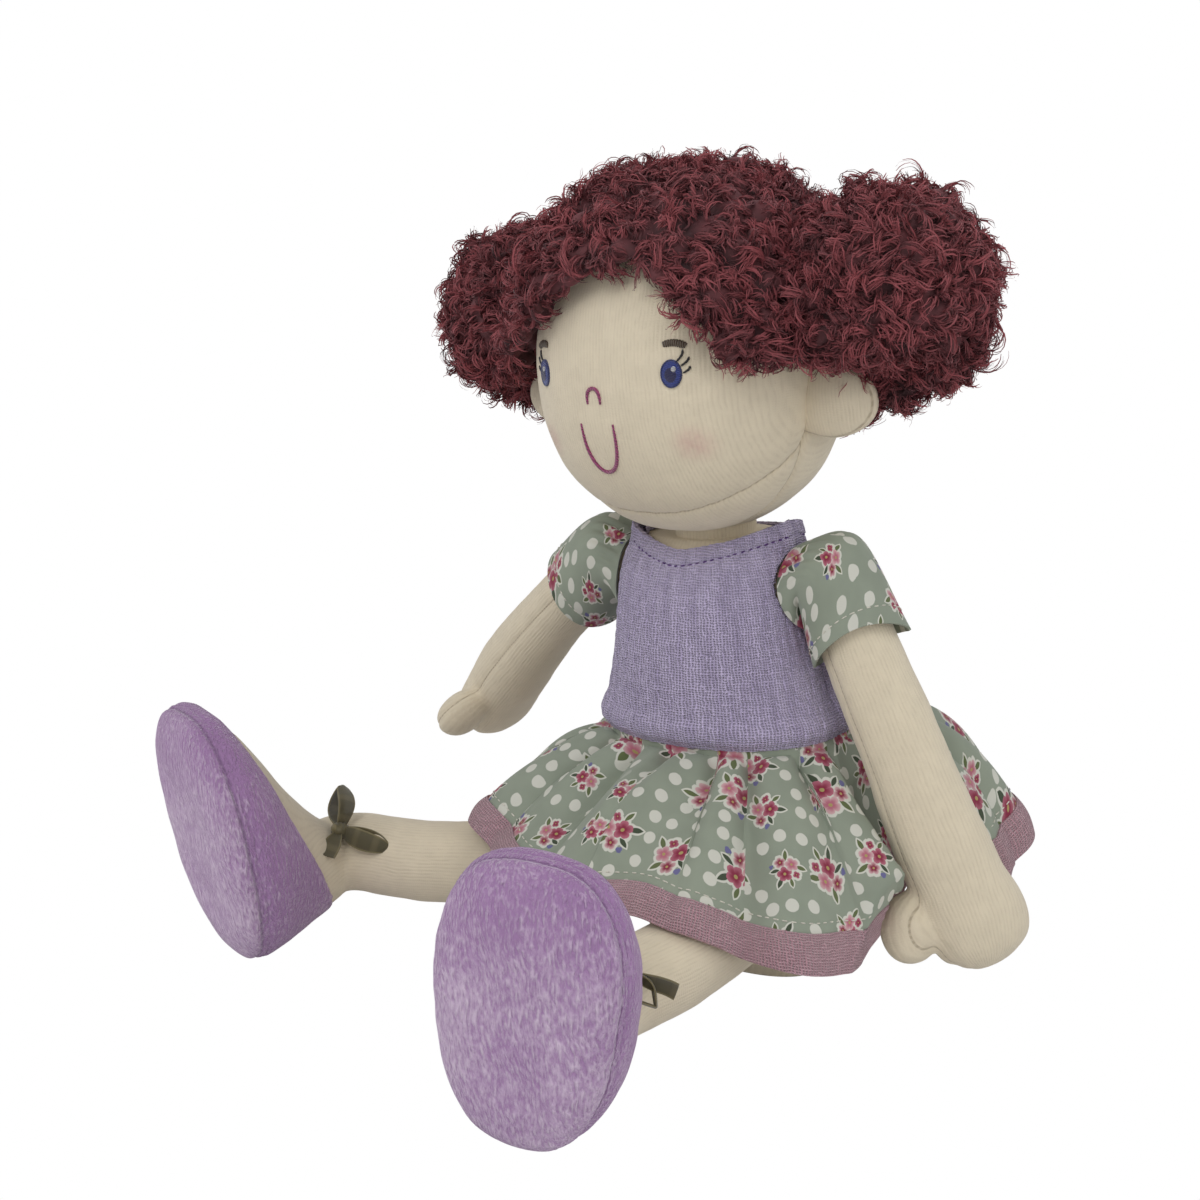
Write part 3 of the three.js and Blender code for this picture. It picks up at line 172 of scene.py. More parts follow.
class Cloth:
    """A procedural material under construction."""

    def __init__(self, name, **constants):
        self.material = bpy.data.materials.new(name)
        self.material.use_nodes = True
        self.tree = self.material.node_tree
        self.shader = self.tree.nodes["Principled BSDF"]
        for key, value in constants.items():
            self.shader.inputs[key.replace("_", " ")].default_value = value

    def node(self, kind, **settings):
        node = self.tree.nodes.new(kind)
        for key, value in settings.items():
            setattr(node, key, value)
        return node

    def feed(self, slot, value):
        if isinstance(value, Val):
            self.tree.links.new(value.socket, slot)
        else:
            slot.default_value = value

    def coords(self, matrix=None):
        """The point in millimetres, as seen from a frame."""
        node = self.node("ShaderNodeTexCoord")
        mapping = self.node("ShaderNodeMapping")
        inverse = (matrix or Matrix.Identity(4)).inverted()
        self.tree.links.new(node.outputs["Object"], mapping.inputs[0])
        mapping.inputs["Location"].default_value = inverse.to_translation()
        mapping.inputs["Rotation"].default_value = inverse.to_euler()
        mapping.inputs["Scale"].default_value = (1 / MM, 1 / MM, 1 / MM)
        return Val(self, mapping.outputs[0])

    def attribute(self, name, output="Vector"):
        node = self.node("ShaderNodeAttribute", attribute_name=name)
        return Val(self, node.outputs[output])

    def split(self, vector):
        node = self.node("ShaderNodeSeparateXYZ")
        self.feed(node.inputs[0], vector)
        return [Val(self, output) for output in node.outputs]

    def vector(self, x, y, z=0.0):
        node = self.node("ShaderNodeCombineXYZ")
        for slot, value in zip(node.inputs, (x, y, z)):
            self.feed(slot, value)
        return Val(self, node.outputs[0])

    def stretched(self, vector, x, y, z):
        node = self.node("ShaderNodeMapping")
        self.feed(node.inputs[0], vector)
        node.inputs["Scale"].default_value = (x, y, z)
        return Val(self, node.outputs[0])

    def noise(self, vector, scale, detail=2.0, rough=0.5):
        node = self.node("ShaderNodeTexNoise")
        self.feed(node.inputs["Vector"], vector)
        node.inputs["Scale"].default_value = scale
        node.inputs["Detail"].default_value = detail
        node.inputs["Roughness"].default_value = rough
        return Val(self, node.outputs["Fac"])

    def cells(self, vector, randomness):
        """Distance, random colour and place of the nearest cell's middle."""
        node = self.node("ShaderNodeTexVoronoi", voronoi_dimensions="2D")
        self.feed(node.inputs["Vector"], vector)
        node.inputs["Scale"].default_value = 1.0
        node.inputs["Randomness"].default_value = randomness
        return [Val(self, node.outputs[key]) for key in ("Distance", "Color", "Position")]

    def mix(self, share, a, b):
        node = self.node("ShaderNodeMix", data_type="RGBA")
        for slot, value in zip((node.inputs[0], node.inputs[6], node.inputs[7]), (share, a, b)):
            if isinstance(value, tuple) and len(value) == 3:
                value = (*value, 1)
            self.feed(slot, value)
        return Val(self, node.outputs[2])

    def done(self, colour, height, depth, strength, alpha=None):
        """The finished material, with a relief as deep as depth in millimetres."""
        self.feed(self.shader.inputs["Base Color"], colour)
        if alpha is not None:
            self.feed(self.shader.inputs["Alpha"], alpha)
        bump = self.node("ShaderNodeBump")
        bump.inputs["Strength"].default_value = strength
        bump.inputs["Distance"].default_value = depth * MM
        self.feed(bump.inputs["Height"], height)
        self.tree.links.new(bump.outputs[0], self.shader.inputs["Normal"])
        return self.material


# Meshes

def unit(v):
    return v / np.linalg.norm(v, axis=-1, keepdims=True)


def ease(x, low, high):
    t = np.clip((x - low) / (high - low), 0, 1)
    return t * t * (3 - 2 * t)


def placed(points, matrix):
    matrix = np.array(matrix)
    return np.asarray(points, float) @ matrix[:3, :3].T + matrix[:3, 3]


def make(name, points, faces, matrix=None, material=None):
    if matrix is not None:
        points = placed(points, matrix)
    mesh = bpy.data.meshes.new(name)
    mesh.from_pydata((np.asarray(points, float) * MM).tolist(), [], faces)
    mesh.update()
    mesh.shade_smooth()
    if material:
        mesh.materials.append(material)
    obj = bpy.data.objects.new(name, mesh)
    bpy.context.collection.objects.link(obj)
    return obj


def from_cad(node, name):
    """A new piece with the mesh of a CAD node."""
    piece = bpy.data.objects.new(name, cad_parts[node].data.copy())
    bpy.context.collection.objects.link(piece)
    return piece


def facing_out(obj):
    form = bmesh.new()
    form.from_mesh(obj.data)
    bmesh.ops.recalc_face_normals(form, faces=form.faces)
    form.to_mesh(obj.data)
    form.free()
    return obj


def grid_faces(rows, cols, round_=True):
    i, j = np.meshgrid(np.arange(rows - 1), np.arange(cols if round_ else cols - 1), indexing="ij")
    a = i * cols + j
    b = i * cols + (j + 1) % cols
    return np.stack([a, b, b + cols, a + cols], -1).reshape(-1, 4).tolist()


def lofted(rings):
    """Points and faces of a closed form through rings of points."""
    rings = np.asarray(rings, float)
    rows, cols = rings.shape[:2]
    points = np.vstack([rings.reshape(-1, 3), rings[0].mean(0), rings[-1].mean(0)])
    faces = grid_faces(rows, cols)
    last = (rows - 1) * cols
    for k in range(cols):
        n = (k + 1) % cols
        faces.append((rows * cols, n, k))
        faces.append((rows * cols + 1, last + k, last + n))
    return points, faces


def settled(obj):
    """Applies the modifiers."""
    mesh = bpy.data.meshes.new_from_object(obj.evaluated_get(bpy.context.evaluated_depsgraph_get()))
    old = obj.data
    obj.modifiers.clear()
    obj.data = mesh
    bpy.data.meshes.remove(old)
    return obj


def thickened(obj, ply):
    change = obj.modifiers.new("ply", "SOLIDIFY")
    change.thickness = ply * MM
    change.offset = 0
    settled(obj)
    obj.data.set_sharp_from_angle(angle=math.radians(55))
    return obj


def remeshed(obj, voxel, smoothing):
    change = obj.modifiers.new("remesh", "REMESH")
    change.mode = "VOXEL"
    change.voxel_size = voxel * MM
    change.use_smooth_shade = True
    soften = obj.modifiers.new("soften", "SMOOTH")
    soften.iterations = smoothing
    return settled(obj)


def cut(obj, cutter):
    """Takes a solid away from a piece, and then the solid itself."""
    change = obj.modifiers.new("cut", "BOOLEAN")
    change.operation = "DIFFERENCE"
    change.object = cutter
    change.solver = "EXACT"
    settled(obj)
    obj.data.shade_smooth()
    used = cutter.data
    bpy.data.objects.remove(cutter)
    bpy.data.meshes.remove(used)


def sliced(form, place, way, outer=False):
    """Cuts a form at a plane, its place in millimetres, and drops the side behind it or the outer one."""
    bmesh.ops.bisect_plane(
        form,
        geom=form.verts[:] + form.edges[:] + form.faces[:],
        plane_co=tuple(c * MM for c in place),
        plane_no=way,
        clear_inner=not outer,
        clear_outer=outer,
    )


def coords_of(obj):
    flat = np.empty(len(obj.data.vertices) * 3, np.float32)
    obj.data.vertices.foreach_get("co", flat)
    return flat.reshape(-1, 3).astype(float) / MM


def normals_of(obj):
    flat = np.empty(len(obj.data.vertices) * 3, np.float32)
    obj.data.vertices.foreach_get("normal", flat)
    return flat.reshape(-1, 3).astype(float)


def reshape(obj, points):
    obj.data.vertices.foreach_set("co", (points * MM).astype(np.float32).ravel())
    obj.data.update()


def write(obj, name, values):
    """A float or vector for each point, for the material."""
    values = np.asarray(values, np.float32)
    kind, key = ("FLOAT", "value") if values.ndim == 1 else ("FLOAT_VECTOR", "vector")
    layer = obj.data.attributes.new(name, kind, "POINT")
    layer.data.foreach_set(key, values.ravel())


def dress(obj, body, nodes=(), material=None):
    """What every piece gets: its material and its body, with the CAD nodes it stands for hidden."""
    if material:
        obj.data.materials.clear()
        obj.data.materials.append(material)
    if nodes:
        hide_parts(*nodes)
    if body:
        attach(obj, body)
    return obj


def declared_sheet(width, length, narrow=None):
    """Works out what the cloth was cut to, sized without a look at the finished mesh, and does nothing with
    it.

    The cut is a rectangle, or a flared panel where narrow gives the width of its upper edge.
    """
    area = None if narrow is None else (width + narrow) / 2 * length * MM * MM
    width * MM
    length * MM


def between(p0, p1, p2, p3, f):
    """A smooth curve from p1, where f is 0, to p2, where f is 1."""
    value = 2 * p1 + (p2 - p0) * f
    value = value + (2 * p0 - 5 * p1 + 4 * p2 - p3) * f**2
    value = value + (3 * p1 - p0 - 3 * p2 + p3) * f**3
    return 0.5 * value


def smooth_rows(table, count):
    """Smooth values between the rows of a table."""
    table = np.asarray(table, float)
    t = np.linspace(0, len(table) - 1, count)
    i = np.clip(t.astype(int), 0, len(table) - 2)
    f = (t - i)[:, None]
    before = np.vstack([2 * table[0] - table[1], table, 2 * table[-1] - table[-2]])
    return between(*(before[i + k] for k in range(4)), f)


def rounded(angle, half_x, half_y, squareness):
    power = 2 / squareness
    c, s = np.cos(angle), np.sin(angle)
    return half_x * np.sign(c) * np.abs(c) ** power, half_y * np.sign(s) * np.abs(s) ** power


def egg(half_x, half_y, half_z, squareness, sides, bands):
    """Points and faces of a rounded form round the origin."""
    rise = np.linspace(-math.pi / 2, math.pi / 2, bands + 1)[1:-1, None]
    angle = np.linspace(0, TAU, sides, endpoint=False)[None, :]
    power = 2 / squareness
    flat = np.abs(np.cos(rise)) ** power
    x, y = rounded(angle, 1, 1, squareness)
    z = np.sign(np.sin(rise)) * np.abs(np.sin(rise)) ** power + 0 * x
    points, faces = lofted(np.stack([x * flat * half_x, y * flat * half_y, z * half_z], -1))
    points[-2] = (0, 0, -half_z)
    points[-1] = (0, 0, half_z)
    return points, faces


def lumps(points, scale, seed):
    """A smooth random relief from -1 to 1, made of waves in several directions."""
    waves = np.random.default_rng(seed)
    total = np.zeros(len(points))
    for octave, size in enumerate((1.0, 1.7, 2.9)):
        for _ in range(4):
            way = waves.normal(size=3)
            way *= TAU * size / scale / np.linalg.norm(way)
            total += np.sin(points @ way + waves.uniform(0, TAU)) / (4 * (octave + 1))
    return total


# Materials

JERSEY = (0.80, 0.705, 0.535)
# The plane of the jaw seam, and the ear seam's place, in the head's frame
JAW_Y, JAW_Z, JAW_SLOPE, EAR_Y = -40, -50.5, 0.75, -3.5


def head_seams(x, y, z):
    """The lines of the jaw seam and the ear seam on the head's jersey, with their stitches."""
    gap = ((z - JAW_Z - (y - JAW_Y) * JAW_SLOPE) * (1 / math.hypot(1, JAW_SLOPE))).abs()
    before = (y * -1 + EAR_Y + 0.4).step(0, 0.4)
    line = (gap * -1 + 0.34).step(0, 0.24) * before
    line = line.max(((y - EAR_Y).abs() * -1 + 0.34).step(0, 0.24))
    return line * (((x.atan2(y * -1) * 46 - z * 0.6) * (TAU / 1.9)).sin().step(-0.4, 0.4) * 0.45 + 0.55)


def arm_seam(side):
    """The line of the seam that runs down an arm between its two halves."""
    def line(x, y, z):
        bowed = x - (z * (-math.pi / ARM_LONG)).sin() * (SIGN[side] * ARM_BOW)
        aside = (bowed * math.cos(SEAM_TURN[side]) + y * math.sin(SEAM_TURN[side])).abs()
        beat = (z * (TAU / 1.7)).sin().step(-0.5, 0.3) * 0.4 + 0.6
        return (aside * -1 + 0.36).step(0, 0.26) * beat * (z + (ARM_LONG - 3)).step(0, 2)
    return line


def jersey(name, matrix, mode, seam=None, blush=False):
    """Natural cotton jersey: fine ribs along the piece, a faint mottle and small slubs."""
    m = Cloth(name, Roughness=0.92, Sheen_Weight=0.25, Sheen_Roughness=0.6, Specular_IOR_Level=0.25)
    p = m.attribute("unbent") if mode == "bent" else m.coords(matrix)
    x, y, z = m.split(p)
    if mode == "face":
        across, along = x, z
    else:
        across, along = x.atan2(y) * 12.5, z
    wander = m.noise(p, 0.12, 1)
    worn = m.noise(m.stretched(p, 0.9, 0.9, 0.25), 1.0, 1).step(0.25, 0.7)
    ribs = (across * (TAU / 1.12) + wander * 6).sin() * worn
    loops = (along * (TAU / 0.75) + (across * (TAU / 2.24)).sin() * 1.2).sin()
    mottle = m.noise(p, 0.16, 3, 0.6)
    slub = m.noise(p, 2.2, 2)
    colour = m.mix(mottle.step(0.3, 0.75), (0.755, 0.665, 0.505), JERSEY)
    # Painted shade: the ribs' grooves are darkened in colour as well as in relief
    colour = m.mix(ribs.step(-1, 0.3) * -0.17 + 0.17, colour, (0.47, 0.375, 0.26))
    colour = m.mix(slub.step(0.66, 0.8) * 0.3, colour, (0.50, 0.40, 0.27))
    if blush:
        for sign in (1, -1):
            away = ((x - sign * 26.5) ** 2 + (z + 18.5) ** 2).sqrt()
            share = (away.step(0.0, 7.5) * -1 + 1) * (m.noise(p, 0.5, 2) * 0.5 + 0.06)
            colour = m.mix(share, colour, (0.55, 0.22, 0.24))
    height = ribs * 0.5 + loops * 0.1 + slub * 0.5
    if seam:
        needle = seam(x, y, z)
        colour = m.mix(needle * 0.6, colour, (0.33, 0.25, 0.16))
        height = height - needle * 1.2
    return m.done(colour, height, 0.16, 0.7)


def gauze(name, colour, shade, matrix, crinkle=1.0, attribute=None):
    """Crinkled double gauze: an open weave whose warp draws up in fine wavy columns, with painted shade in
    its hollows and gaps and painted highlights on its threads.
    """
    m = Cloth(name, Roughness=0.95, Sheen_Weight=0.3, Sheen_Roughness=0.5, Specular_IOR_Level=0.2)
    if attribute:
        x, z, _ = m.split(m.attribute(attribute))
    else:
        a, b, z = m.split(m.coords(matrix))
        x = a.atan2(b * -1.35) * 33
    column = m.noise(m.vector(x * 0.36, z * 0.045), 1.0, 2, 0.5)
    bubble = m.noise(m.vector(x * 0.22, z * 0.30, 3.0), 1.0, 2, 0.5)
    slack = m.noise(m.vector(x * 0.4, z * 0.4, 7.0), 1.0, 2) * 10
    warp = (x * (TAU / 0.9) + slack).sin()
    weft = (z * (TAU / 0.78) + slack).sin()
    thick = m.noise(m.vector(x * 0.6, z * 1.5, 5.0), 1.0, 2, 0.6)
    threads = weft * 0.4 + warp.max(weft) * 0.3 + warp * weft * -0.3 + (thick - 0.5)
    relief = column * 1.25 * crinkle + bubble * 0.6
    # Painted shade: the crinkle's low parts take the shade colour and its high parts the full colour
    tone = relief.step(0.45, 1.25)
    mixed = m.mix(tone, shade, colour)
    # Painted shade in the open gaps of the weave
    holes = (threads * -1 + 0.25).step(0.0, 0.9)
    mixed = m.mix(holes * 0.5, mixed, tuple(c * 0.55 for c in shade))
    # Painted highlight on the crowns of the threads
    mixed = m.mix(threads.step(0.4, 0.95) * 0.45, mixed, tuple(min(1, c * 1.35) for c in colour))
    return m.done(mixed, relief + threads * 0.5, 0.85, 1.0)


# The print: how far apart the posies are, how far they stray from their rows and how big they are
# drawn, and how far apart the dots are
POSY, POSY_STRAY, GROW, DOT = 21.5, 0.55, 1.08, 7.4


def floral(name):
    """Printed poplin: a sage ground with white dots and scattered small flowers, buds and leaves."""
    m = Cloth(name, Roughness=0.82, Sheen_Weight=0.12, Specular_IOR_Level=0.3)
    u, v, _ = m.split(m.attribute("print"))
    ground = (0.305, 0.345, 0.275)
    weave = (u * (TAU / 0.5)).sin() * (v * (TAU / 0.5)).sin()
    colour = m.mix(m.noise(m.vector(u, v), 0.08, 2).step(0.3, 0.7), (0.275, 0.312, 0.248), ground)
    # Each posy has a place, a tint and a turn of its own
    _, tint, place = m.cells(m.vector(u / POSY, v / POSY), POSY_STRAY)
    px, py, _ = m.split(place)
    r1, r2, r3 = m.split(tint)
    grow = r3 * 0.55 + (GROW - 0.4)
    dx, dy = (u - px * POSY) / grow, (v - py * POSY) / grow
    turn = r1 * TAU
    c, s = turn.cos(), turn.sin()
    lx, ly = dx * c + dy * s, dy * c - dx * s
    rough = m.noise(m.vector(u, v, 2.0), 0.8, 2) - 0.5

    def flower(cx, cy, size, petals):
        """Share of petal, how far out from the middle, and share of the cream edge round it."""
        ax, ay = lx - cx, ly - cy
        radius = (ax * ax + ay * ay).sqrt() + rough * 0.7
        angle = ay.atan2(ax)
        edge = (angle * (petals / 2)).cos().abs() ** 0.6 * (size * 0.34) + size * 0.66
        share = (edge - radius).step(-0.1, 0.1)
        outness = (radius / edge).step(0.3, 1.05)
        return share, outness, (edge + 0.95 - radius).step(-0.12, 0.12)

    def leaf(cx, cy, angle, length, width):
        """Share of leaf, and share of the cream edge round it."""
        ca, sa = math.cos(angle), math.sin(angle)
        ax, ay = (lx - cx) * ca + (ly - cy) * sa, (ly - cy) * ca - (lx - cx) * sa
        form = (ax / length) ** 2 * -1 + 1 - (ay / width).abs() + rough * 0.25
        return form.step(-0.05, 0.12), (form + 0.75).step(-0.05, 0.15)

    spot, _, spot_place = m.cells(m.vector(u / DOT, v / DOT), 0.4)
    dots = (spot * -DOT + 2.05 + rough * 0.3).step(-0.12, 0.12)
    sx, sy, _ = m.split(spot_place)
    clear, _, _ = m.cells(m.vector(sx * (DOT / POSY), sy * (DOT / POSY)), POSY_STRAY)
    near_posy = (clear * POSY).step(8.6, 9.0)
    cream = (0.66, 0.66, 0.59)
    berry, rose, blush_pink = (0.25, 0.026, 0.06), (0.47, 0.15, 0.21), (0.64, 0.42, 0.43)
    colour = m.mix(dots * near_posy, colour, cream)
    # Each flower: its middle, its size, its petals, and its colours near the heart and at the rim
    flowers = (
        (-1.7, 1.5, 3.0, 5, berry, rose),
        (2.6, -0.4, 2.7, 5, rose, blush_pink),
        (-0.8, -3.4, 2.2, 5, berry, blush_pink),
        (2.2, 3.9, 1.5, 4, berry, rose),
    )
    # Each leaf: its middle, its turn, its length and its width
    leaves = (
        (5.2, 2.3, 0.7, 2.2, 0.85), (-5.0, 3.4, 2.5, 2.3, 0.85), (2.4, -4.6, -1.0, 2.3, 0.8),
        (-4.2, -1.8, 3.6, 1.9, 0.7), (-1.2, 5.8, 1.9, 1.8, 0.7),
    )
    heads = [flower(*row[:4]) for row in flowers]
    greens = [leaf(*row) for row in leaves]
    halo = heads[0][2]
    for _, _, edge in heads[1:]:
        halo = halo.max(edge)
    for _, edge in greens:
        halo = halo.max(edge)
    colour = m.mix(halo, colour, cream)
    for k, (share, _) in enumerate(greens):
        colour = m.mix(share, colour, ((0.12, 0.15, 0.062), (0.055, 0.075, 0.045))[k % 2])
    for (share, outness, _), row in zip(heads, flowers):
        warm = m.mix(r2.step(0.35, 0.65), row[5], tuple(c * 0.85 for c in row[5]))
        colour = m.mix(share, colour, m.mix(outness, row[4], warm))
        heart = ((lx - row[0]) ** 2 + (ly - row[1]) ** 2).sqrt() * -1 + row[2] * 0.22
        colour = m.mix(heart.step(0, 0.2), colour, (0.42, 0.34, 0.13))
    bud, _, _ = flower(-4.4, -4.2, 1.0, 3)
    colour = m.mix(bud, colour, (0.15, 0.145, 0.31))
    fine = m.noise(m.vector(u, v), 0.9, 2)
    return m.done(colour, weave * 0.3 + fine * 0.5, 0.10, 0.5)


FOOT_TALL = 89


def plush(name, matrix):
    """Minky plush: a dense short nap that lies in soft streaks, lighter where it turns up."""
    sheen = {"Sheen_Weight": 0.8, "Sheen_Roughness": 0.4, "Sheen_Tint": (0.88, 0.78, 0.92, 1)}
    m = Cloth(name, Roughness=0.92, Specular_IOR_Level=0.12, **sheen)
    p = m.coords(matrix)
    x, y, z = m.split(p)
    sway = m.noise(p, 0.05, 1) * 9
    lay = m.vector(x * 0.95 + sway * 0.35, y * 0.95, z * 0.42 + sway * 0.2)
    nap = m.noise(lay, 1.0, 3, 0.6)
    fine = m.noise(m.vector(x * 2.2 + sway * 0.5, y * 2.2, z * 0.55), 1.0, 2, 0.6)
    strokes = m.noise(m.vector(x * 1.3 + sway, y * 1.3, z * 0.26 + sway * 0.3), 1.0, 1, 0.5)
    fine = fine * 0.4 + strokes.step(0.35, 0.75) * 0.55
    patch = m.noise(p, 0.04, 2, 0.5)
    toe = (z / FOOT_TALL).step(0.45, 0.95)
    upper = (y + 2.2).step(0, 0.6)
    tone = (nap + fine * 0.45 + patch * 0.6 - toe * 0.22 - upper * 0.2).step(0.66, 1.38)
    colour = m.mix(tone, (0.42, 0.245, 0.47), (0.80, 0.65, 0.82))
    seam = ((y + 2.2 + (nap - 0.5) * 0.8).abs() * -1 + 0.7).step(0, 0.7)
    colour = m.mix(seam * 0.4, colour, (0.2, 0.1, 0.24))
    return m.done(colour, nap * 1.6 + fine * 0.8 - seam * 0.9, 0.9, 0.9)


def pile(name, dark, light):
    """Hair: painted shade, dark at its roots and in the gaps between tufts and light at its tips, mixed with
    random tone.
    """
    sheen = {"Sheen_Weight": 0.3, "Sheen_Roughness": 0.4, "Sheen_Tint": (0.9, 0.5, 0.55, 1)}
    m = Cloth(name, Roughness=0.7, Specular_IOR_Level=0.35, **sheen)
    p = m.coords()
    tone = m.attribute("tone", "Fac") * 0.75 + m.noise(p, 0.12, 2) * 0.5 - 0.12
    colour = m.mix(tone.step(0.0, 1.0), dark, light)
    return m.done(colour, m.noise(p, 1.2, 2), 0.3, 0.4)


def thread(name, colour, matrix, pitch=0.55, along="x"):
    """Embroidery thread in satin stitch: parallel glossy strands."""
    m = Cloth(name, Roughness=0.38, Sheen_Weight=0.2, Specular_IOR_Level=0.6)
    p = m.coords(matrix)
    x, _, z = m.split(p)
    line = {"x": z + x * 0.35, "z": x, "slant": x * 0.7 + z * 0.7}[along]
    strands = (line * (TAU / pitch)).sin()
    fleck = m.noise(p, 1.3, 1)
    # Painted shade: the grooves between the strands take a darker copy of the thread's colour, with random
    # flecks
    deep = tuple(c * 0.45 for c in colour)
    return m.done(m.mix(strands.step(-1, 0.1) * (fleck * 0.5 + 0.5), deep, colour), strands, 0.22, 0.9)


def organza(name):
    """Sheer olive ribbon: a fine open weave whose denser woven edges are lighter, partly their own gold
    colour and partly painted sheen, with bands of painted sheen along it.
    """
    m = Cloth(name, Roughness=0.5, Sheen_Weight=0.3, Specular_IOR_Level=0.45)
    across, along, _ = m.split(m.attribute("print"))
    edge = across.abs().step(0.78, 0.9)
    weave = (across * 34).sin() * (along * (TAU / 0.35)).sin()
    sheer = edge * 0.1 + 0.86 + weave * 0.1
    # The edges: partly their own gold colour, partly painted sheen
    colour = m.mix(edge, (0.075, 0.062, 0.024), (0.17, 0.14, 0.062))
    # Painted sheen: lighter bands that come and go along the ribbon
    colour = m.mix((along * 0.9).sin().step(0.2, 1.0) * 0.25, colour, (0.24, 0.20, 0.10))
    return m.done(colour, weave * 0.5 + edge, 0.12, 0.6, alpha=sheer)


def cotton(name, colour):
    """Plain cotton, for sewing thread and tape."""
    m = Cloth(name, Roughness=0.85, Specular_IOR_Level=0.3)
    p = m.coords()
    fibre = m.noise(p, 1.8, 3)
    deep = tuple(c * 0.72 for c in colour)
    return m.done(m.mix(fibre.step(0.35, 0.65), deep, colour), fibre, 0.2, 0.6)


face_jersey = jersey("jersey_face", HEAD, "face", head_seams, blush=True)
body_jersey = jersey("jersey_body", UPPER, "up")
arm_jersey = {side: jersey("jersey_arm_" + side, TURNED[side], "up", arm_seam(side)) for side in SIGN}
leg_jersey = {side: jersey("jersey_leg_" + side, None, "bent") for side in SIGN}
lavender = gauze("lavender_gauze", (0.64, 0.56, 0.80), (0.43, 0.365, 0.565), UPPER)
pink = gauze("pink_gauze", (0.86, 0.585, 0.635), (0.52, 0.295, 0.345), UPPER, 0.35, attribute="print")
sage = floral("sage_print")
minky = {side: plush("shoe_plush_" + side, FOOT[side]) for side in SIGN}
hair_pile = pile("hair_pile", (0.04, 0.016, 0.019), (0.315, 0.074, 0.084))
# The backing is much darker than the curls: painted shade deep in the hair
hair_base = pile("hair_backing", (0.025, 0.009, 0.011), (0.13, 0.032, 0.038))
ribbon_olive = organza("olive_ribbon")
blue_thread = thread("eye_thread", (0.05, 0.085, 0.42), HEAD)
iris_thread = thread("iris_thread", (0.022, 0.022, 0.13), HEAD, pitch=0.45)
ring_thread = thread("eye_edge_thread", (0.02, 0.035, 0.20), HEAD)
white_thread = thread("highlight_thread", (0.85, 0.85, 0.88), HEAD)
black_thread = thread("lash_thread", (0.012, 0.01, 0.014), HEAD)
brow_thread = thread("brow_thread", (0.13, 0.085, 0.045), HEAD, along="z")
berry_thread = thread("berry_thread", (0.42, 0.055, 0.20), HEAD, pitch=0.8, along="slant")
plum_stitch = cotton("plum_stitch", (0.11, 0.05, 0.20))
cream_stitch = cotton("cream_stitch", (0.80, 0.77, 0.68))
tape_cotton = cotton("closing_tape", (0.78, 0.75, 0.70))


# Torso and bodice

# Each row, in shares of the torso's size: how high, half its width and half its depth there
PROFILE_SHARES = [
    [-0.041, 0.62, 0.5], [0.03, 0.84, 0.68], [0.14, 0.97, 0.8], [0.33, 1.0, 0.87], [0.54, 1.0, 1.0],
    [0.68, 0.86, 0.98], [0.78, 0.775, 0.93], [0.87, 0.745, 0.845], [0.94, 0.71, 0.71],
    [0.975, 0.655, 0.6], [1.0, 0.57, 0.5],
]
TALL, WIDE, DEEP, SQUARE = 141, 41.2, 29, 2.2
# How far the bodice stands off the torso, the plies of its cloths, and the gap at a seam
OFF, GAUZE, COTTON, SEAM = 1.75, 1.2, 1.0, 0.3
TORSO_ROWS = smooth_rows(PROFILE_SHARES, 90)


def torso_halves(z):
    share = np.asarray(z, float) / TALL
    return (
        np.interp(share, TORSO_ROWS[:, 0], TORSO_ROWS[:, 1]) * WIDE,
        np.interp(share, TORSO_ROWS[:, 0], TORSO_ROWS[:, 2]) * DEEP,
    )


def torso_point(angle, z, off):
    """A point on the torso's side, in the upper body's frame."""
    wide, deep = torso_halves(z)
    x, y = rounded(angle, wide + off, deep + off, SQUARE)
    return np.stack([x, y, z + 0 * x], -1)


def block_below_floor(reach, deep):
    corners = [(x, y, z) for x in (-reach, reach) for y in (-reach, reach) for z in (-deep, 0)]
    faces = [(0, 1, 3, 2), (4, 6, 7, 5), (0, 4, 5, 1), (2, 3, 7, 6), (0, 2, 6, 4), (1, 5, 7, 3)]
    return facing_out(make("block_below_floor", corners, faces))


def stuffed_torso():
    angle = np.linspace(0, TAU, 128, endpoint=False)[None, :]
    z = (TORSO_ROWS[:, 0] * TALL)[:, None] + 0 * angle
    torso = facing_out(make("torso_stuffed", *lofted(torso_point(angle, z, 0)), UPPER))
    cut(torso, block_below_floor(90, 80))
    dress(torso, "torso", ["torso"], body_jersey)


stuffed_torso()

# The bodice's hem, its neckline at the front and how much higher that is over the shoulders,
# and how far below its edge the neckline is stitched
BODICE_LOW, NECK_Z, NECK_RISE, NECK_STITCH = 79.5, 138.8, 7.4, 4.4
BODICE_ROWS = 110


def neck_height(plan):
    """How high the neckline stands, round the neck."""
    side = np.abs(np.cos(plan)) ** 1.25
    behind = np.maximum(np.sin(plan), 0)
    return NECK_Z + NECK_RISE * side * (1 - 0.55 * behind) + 1.5 * behind


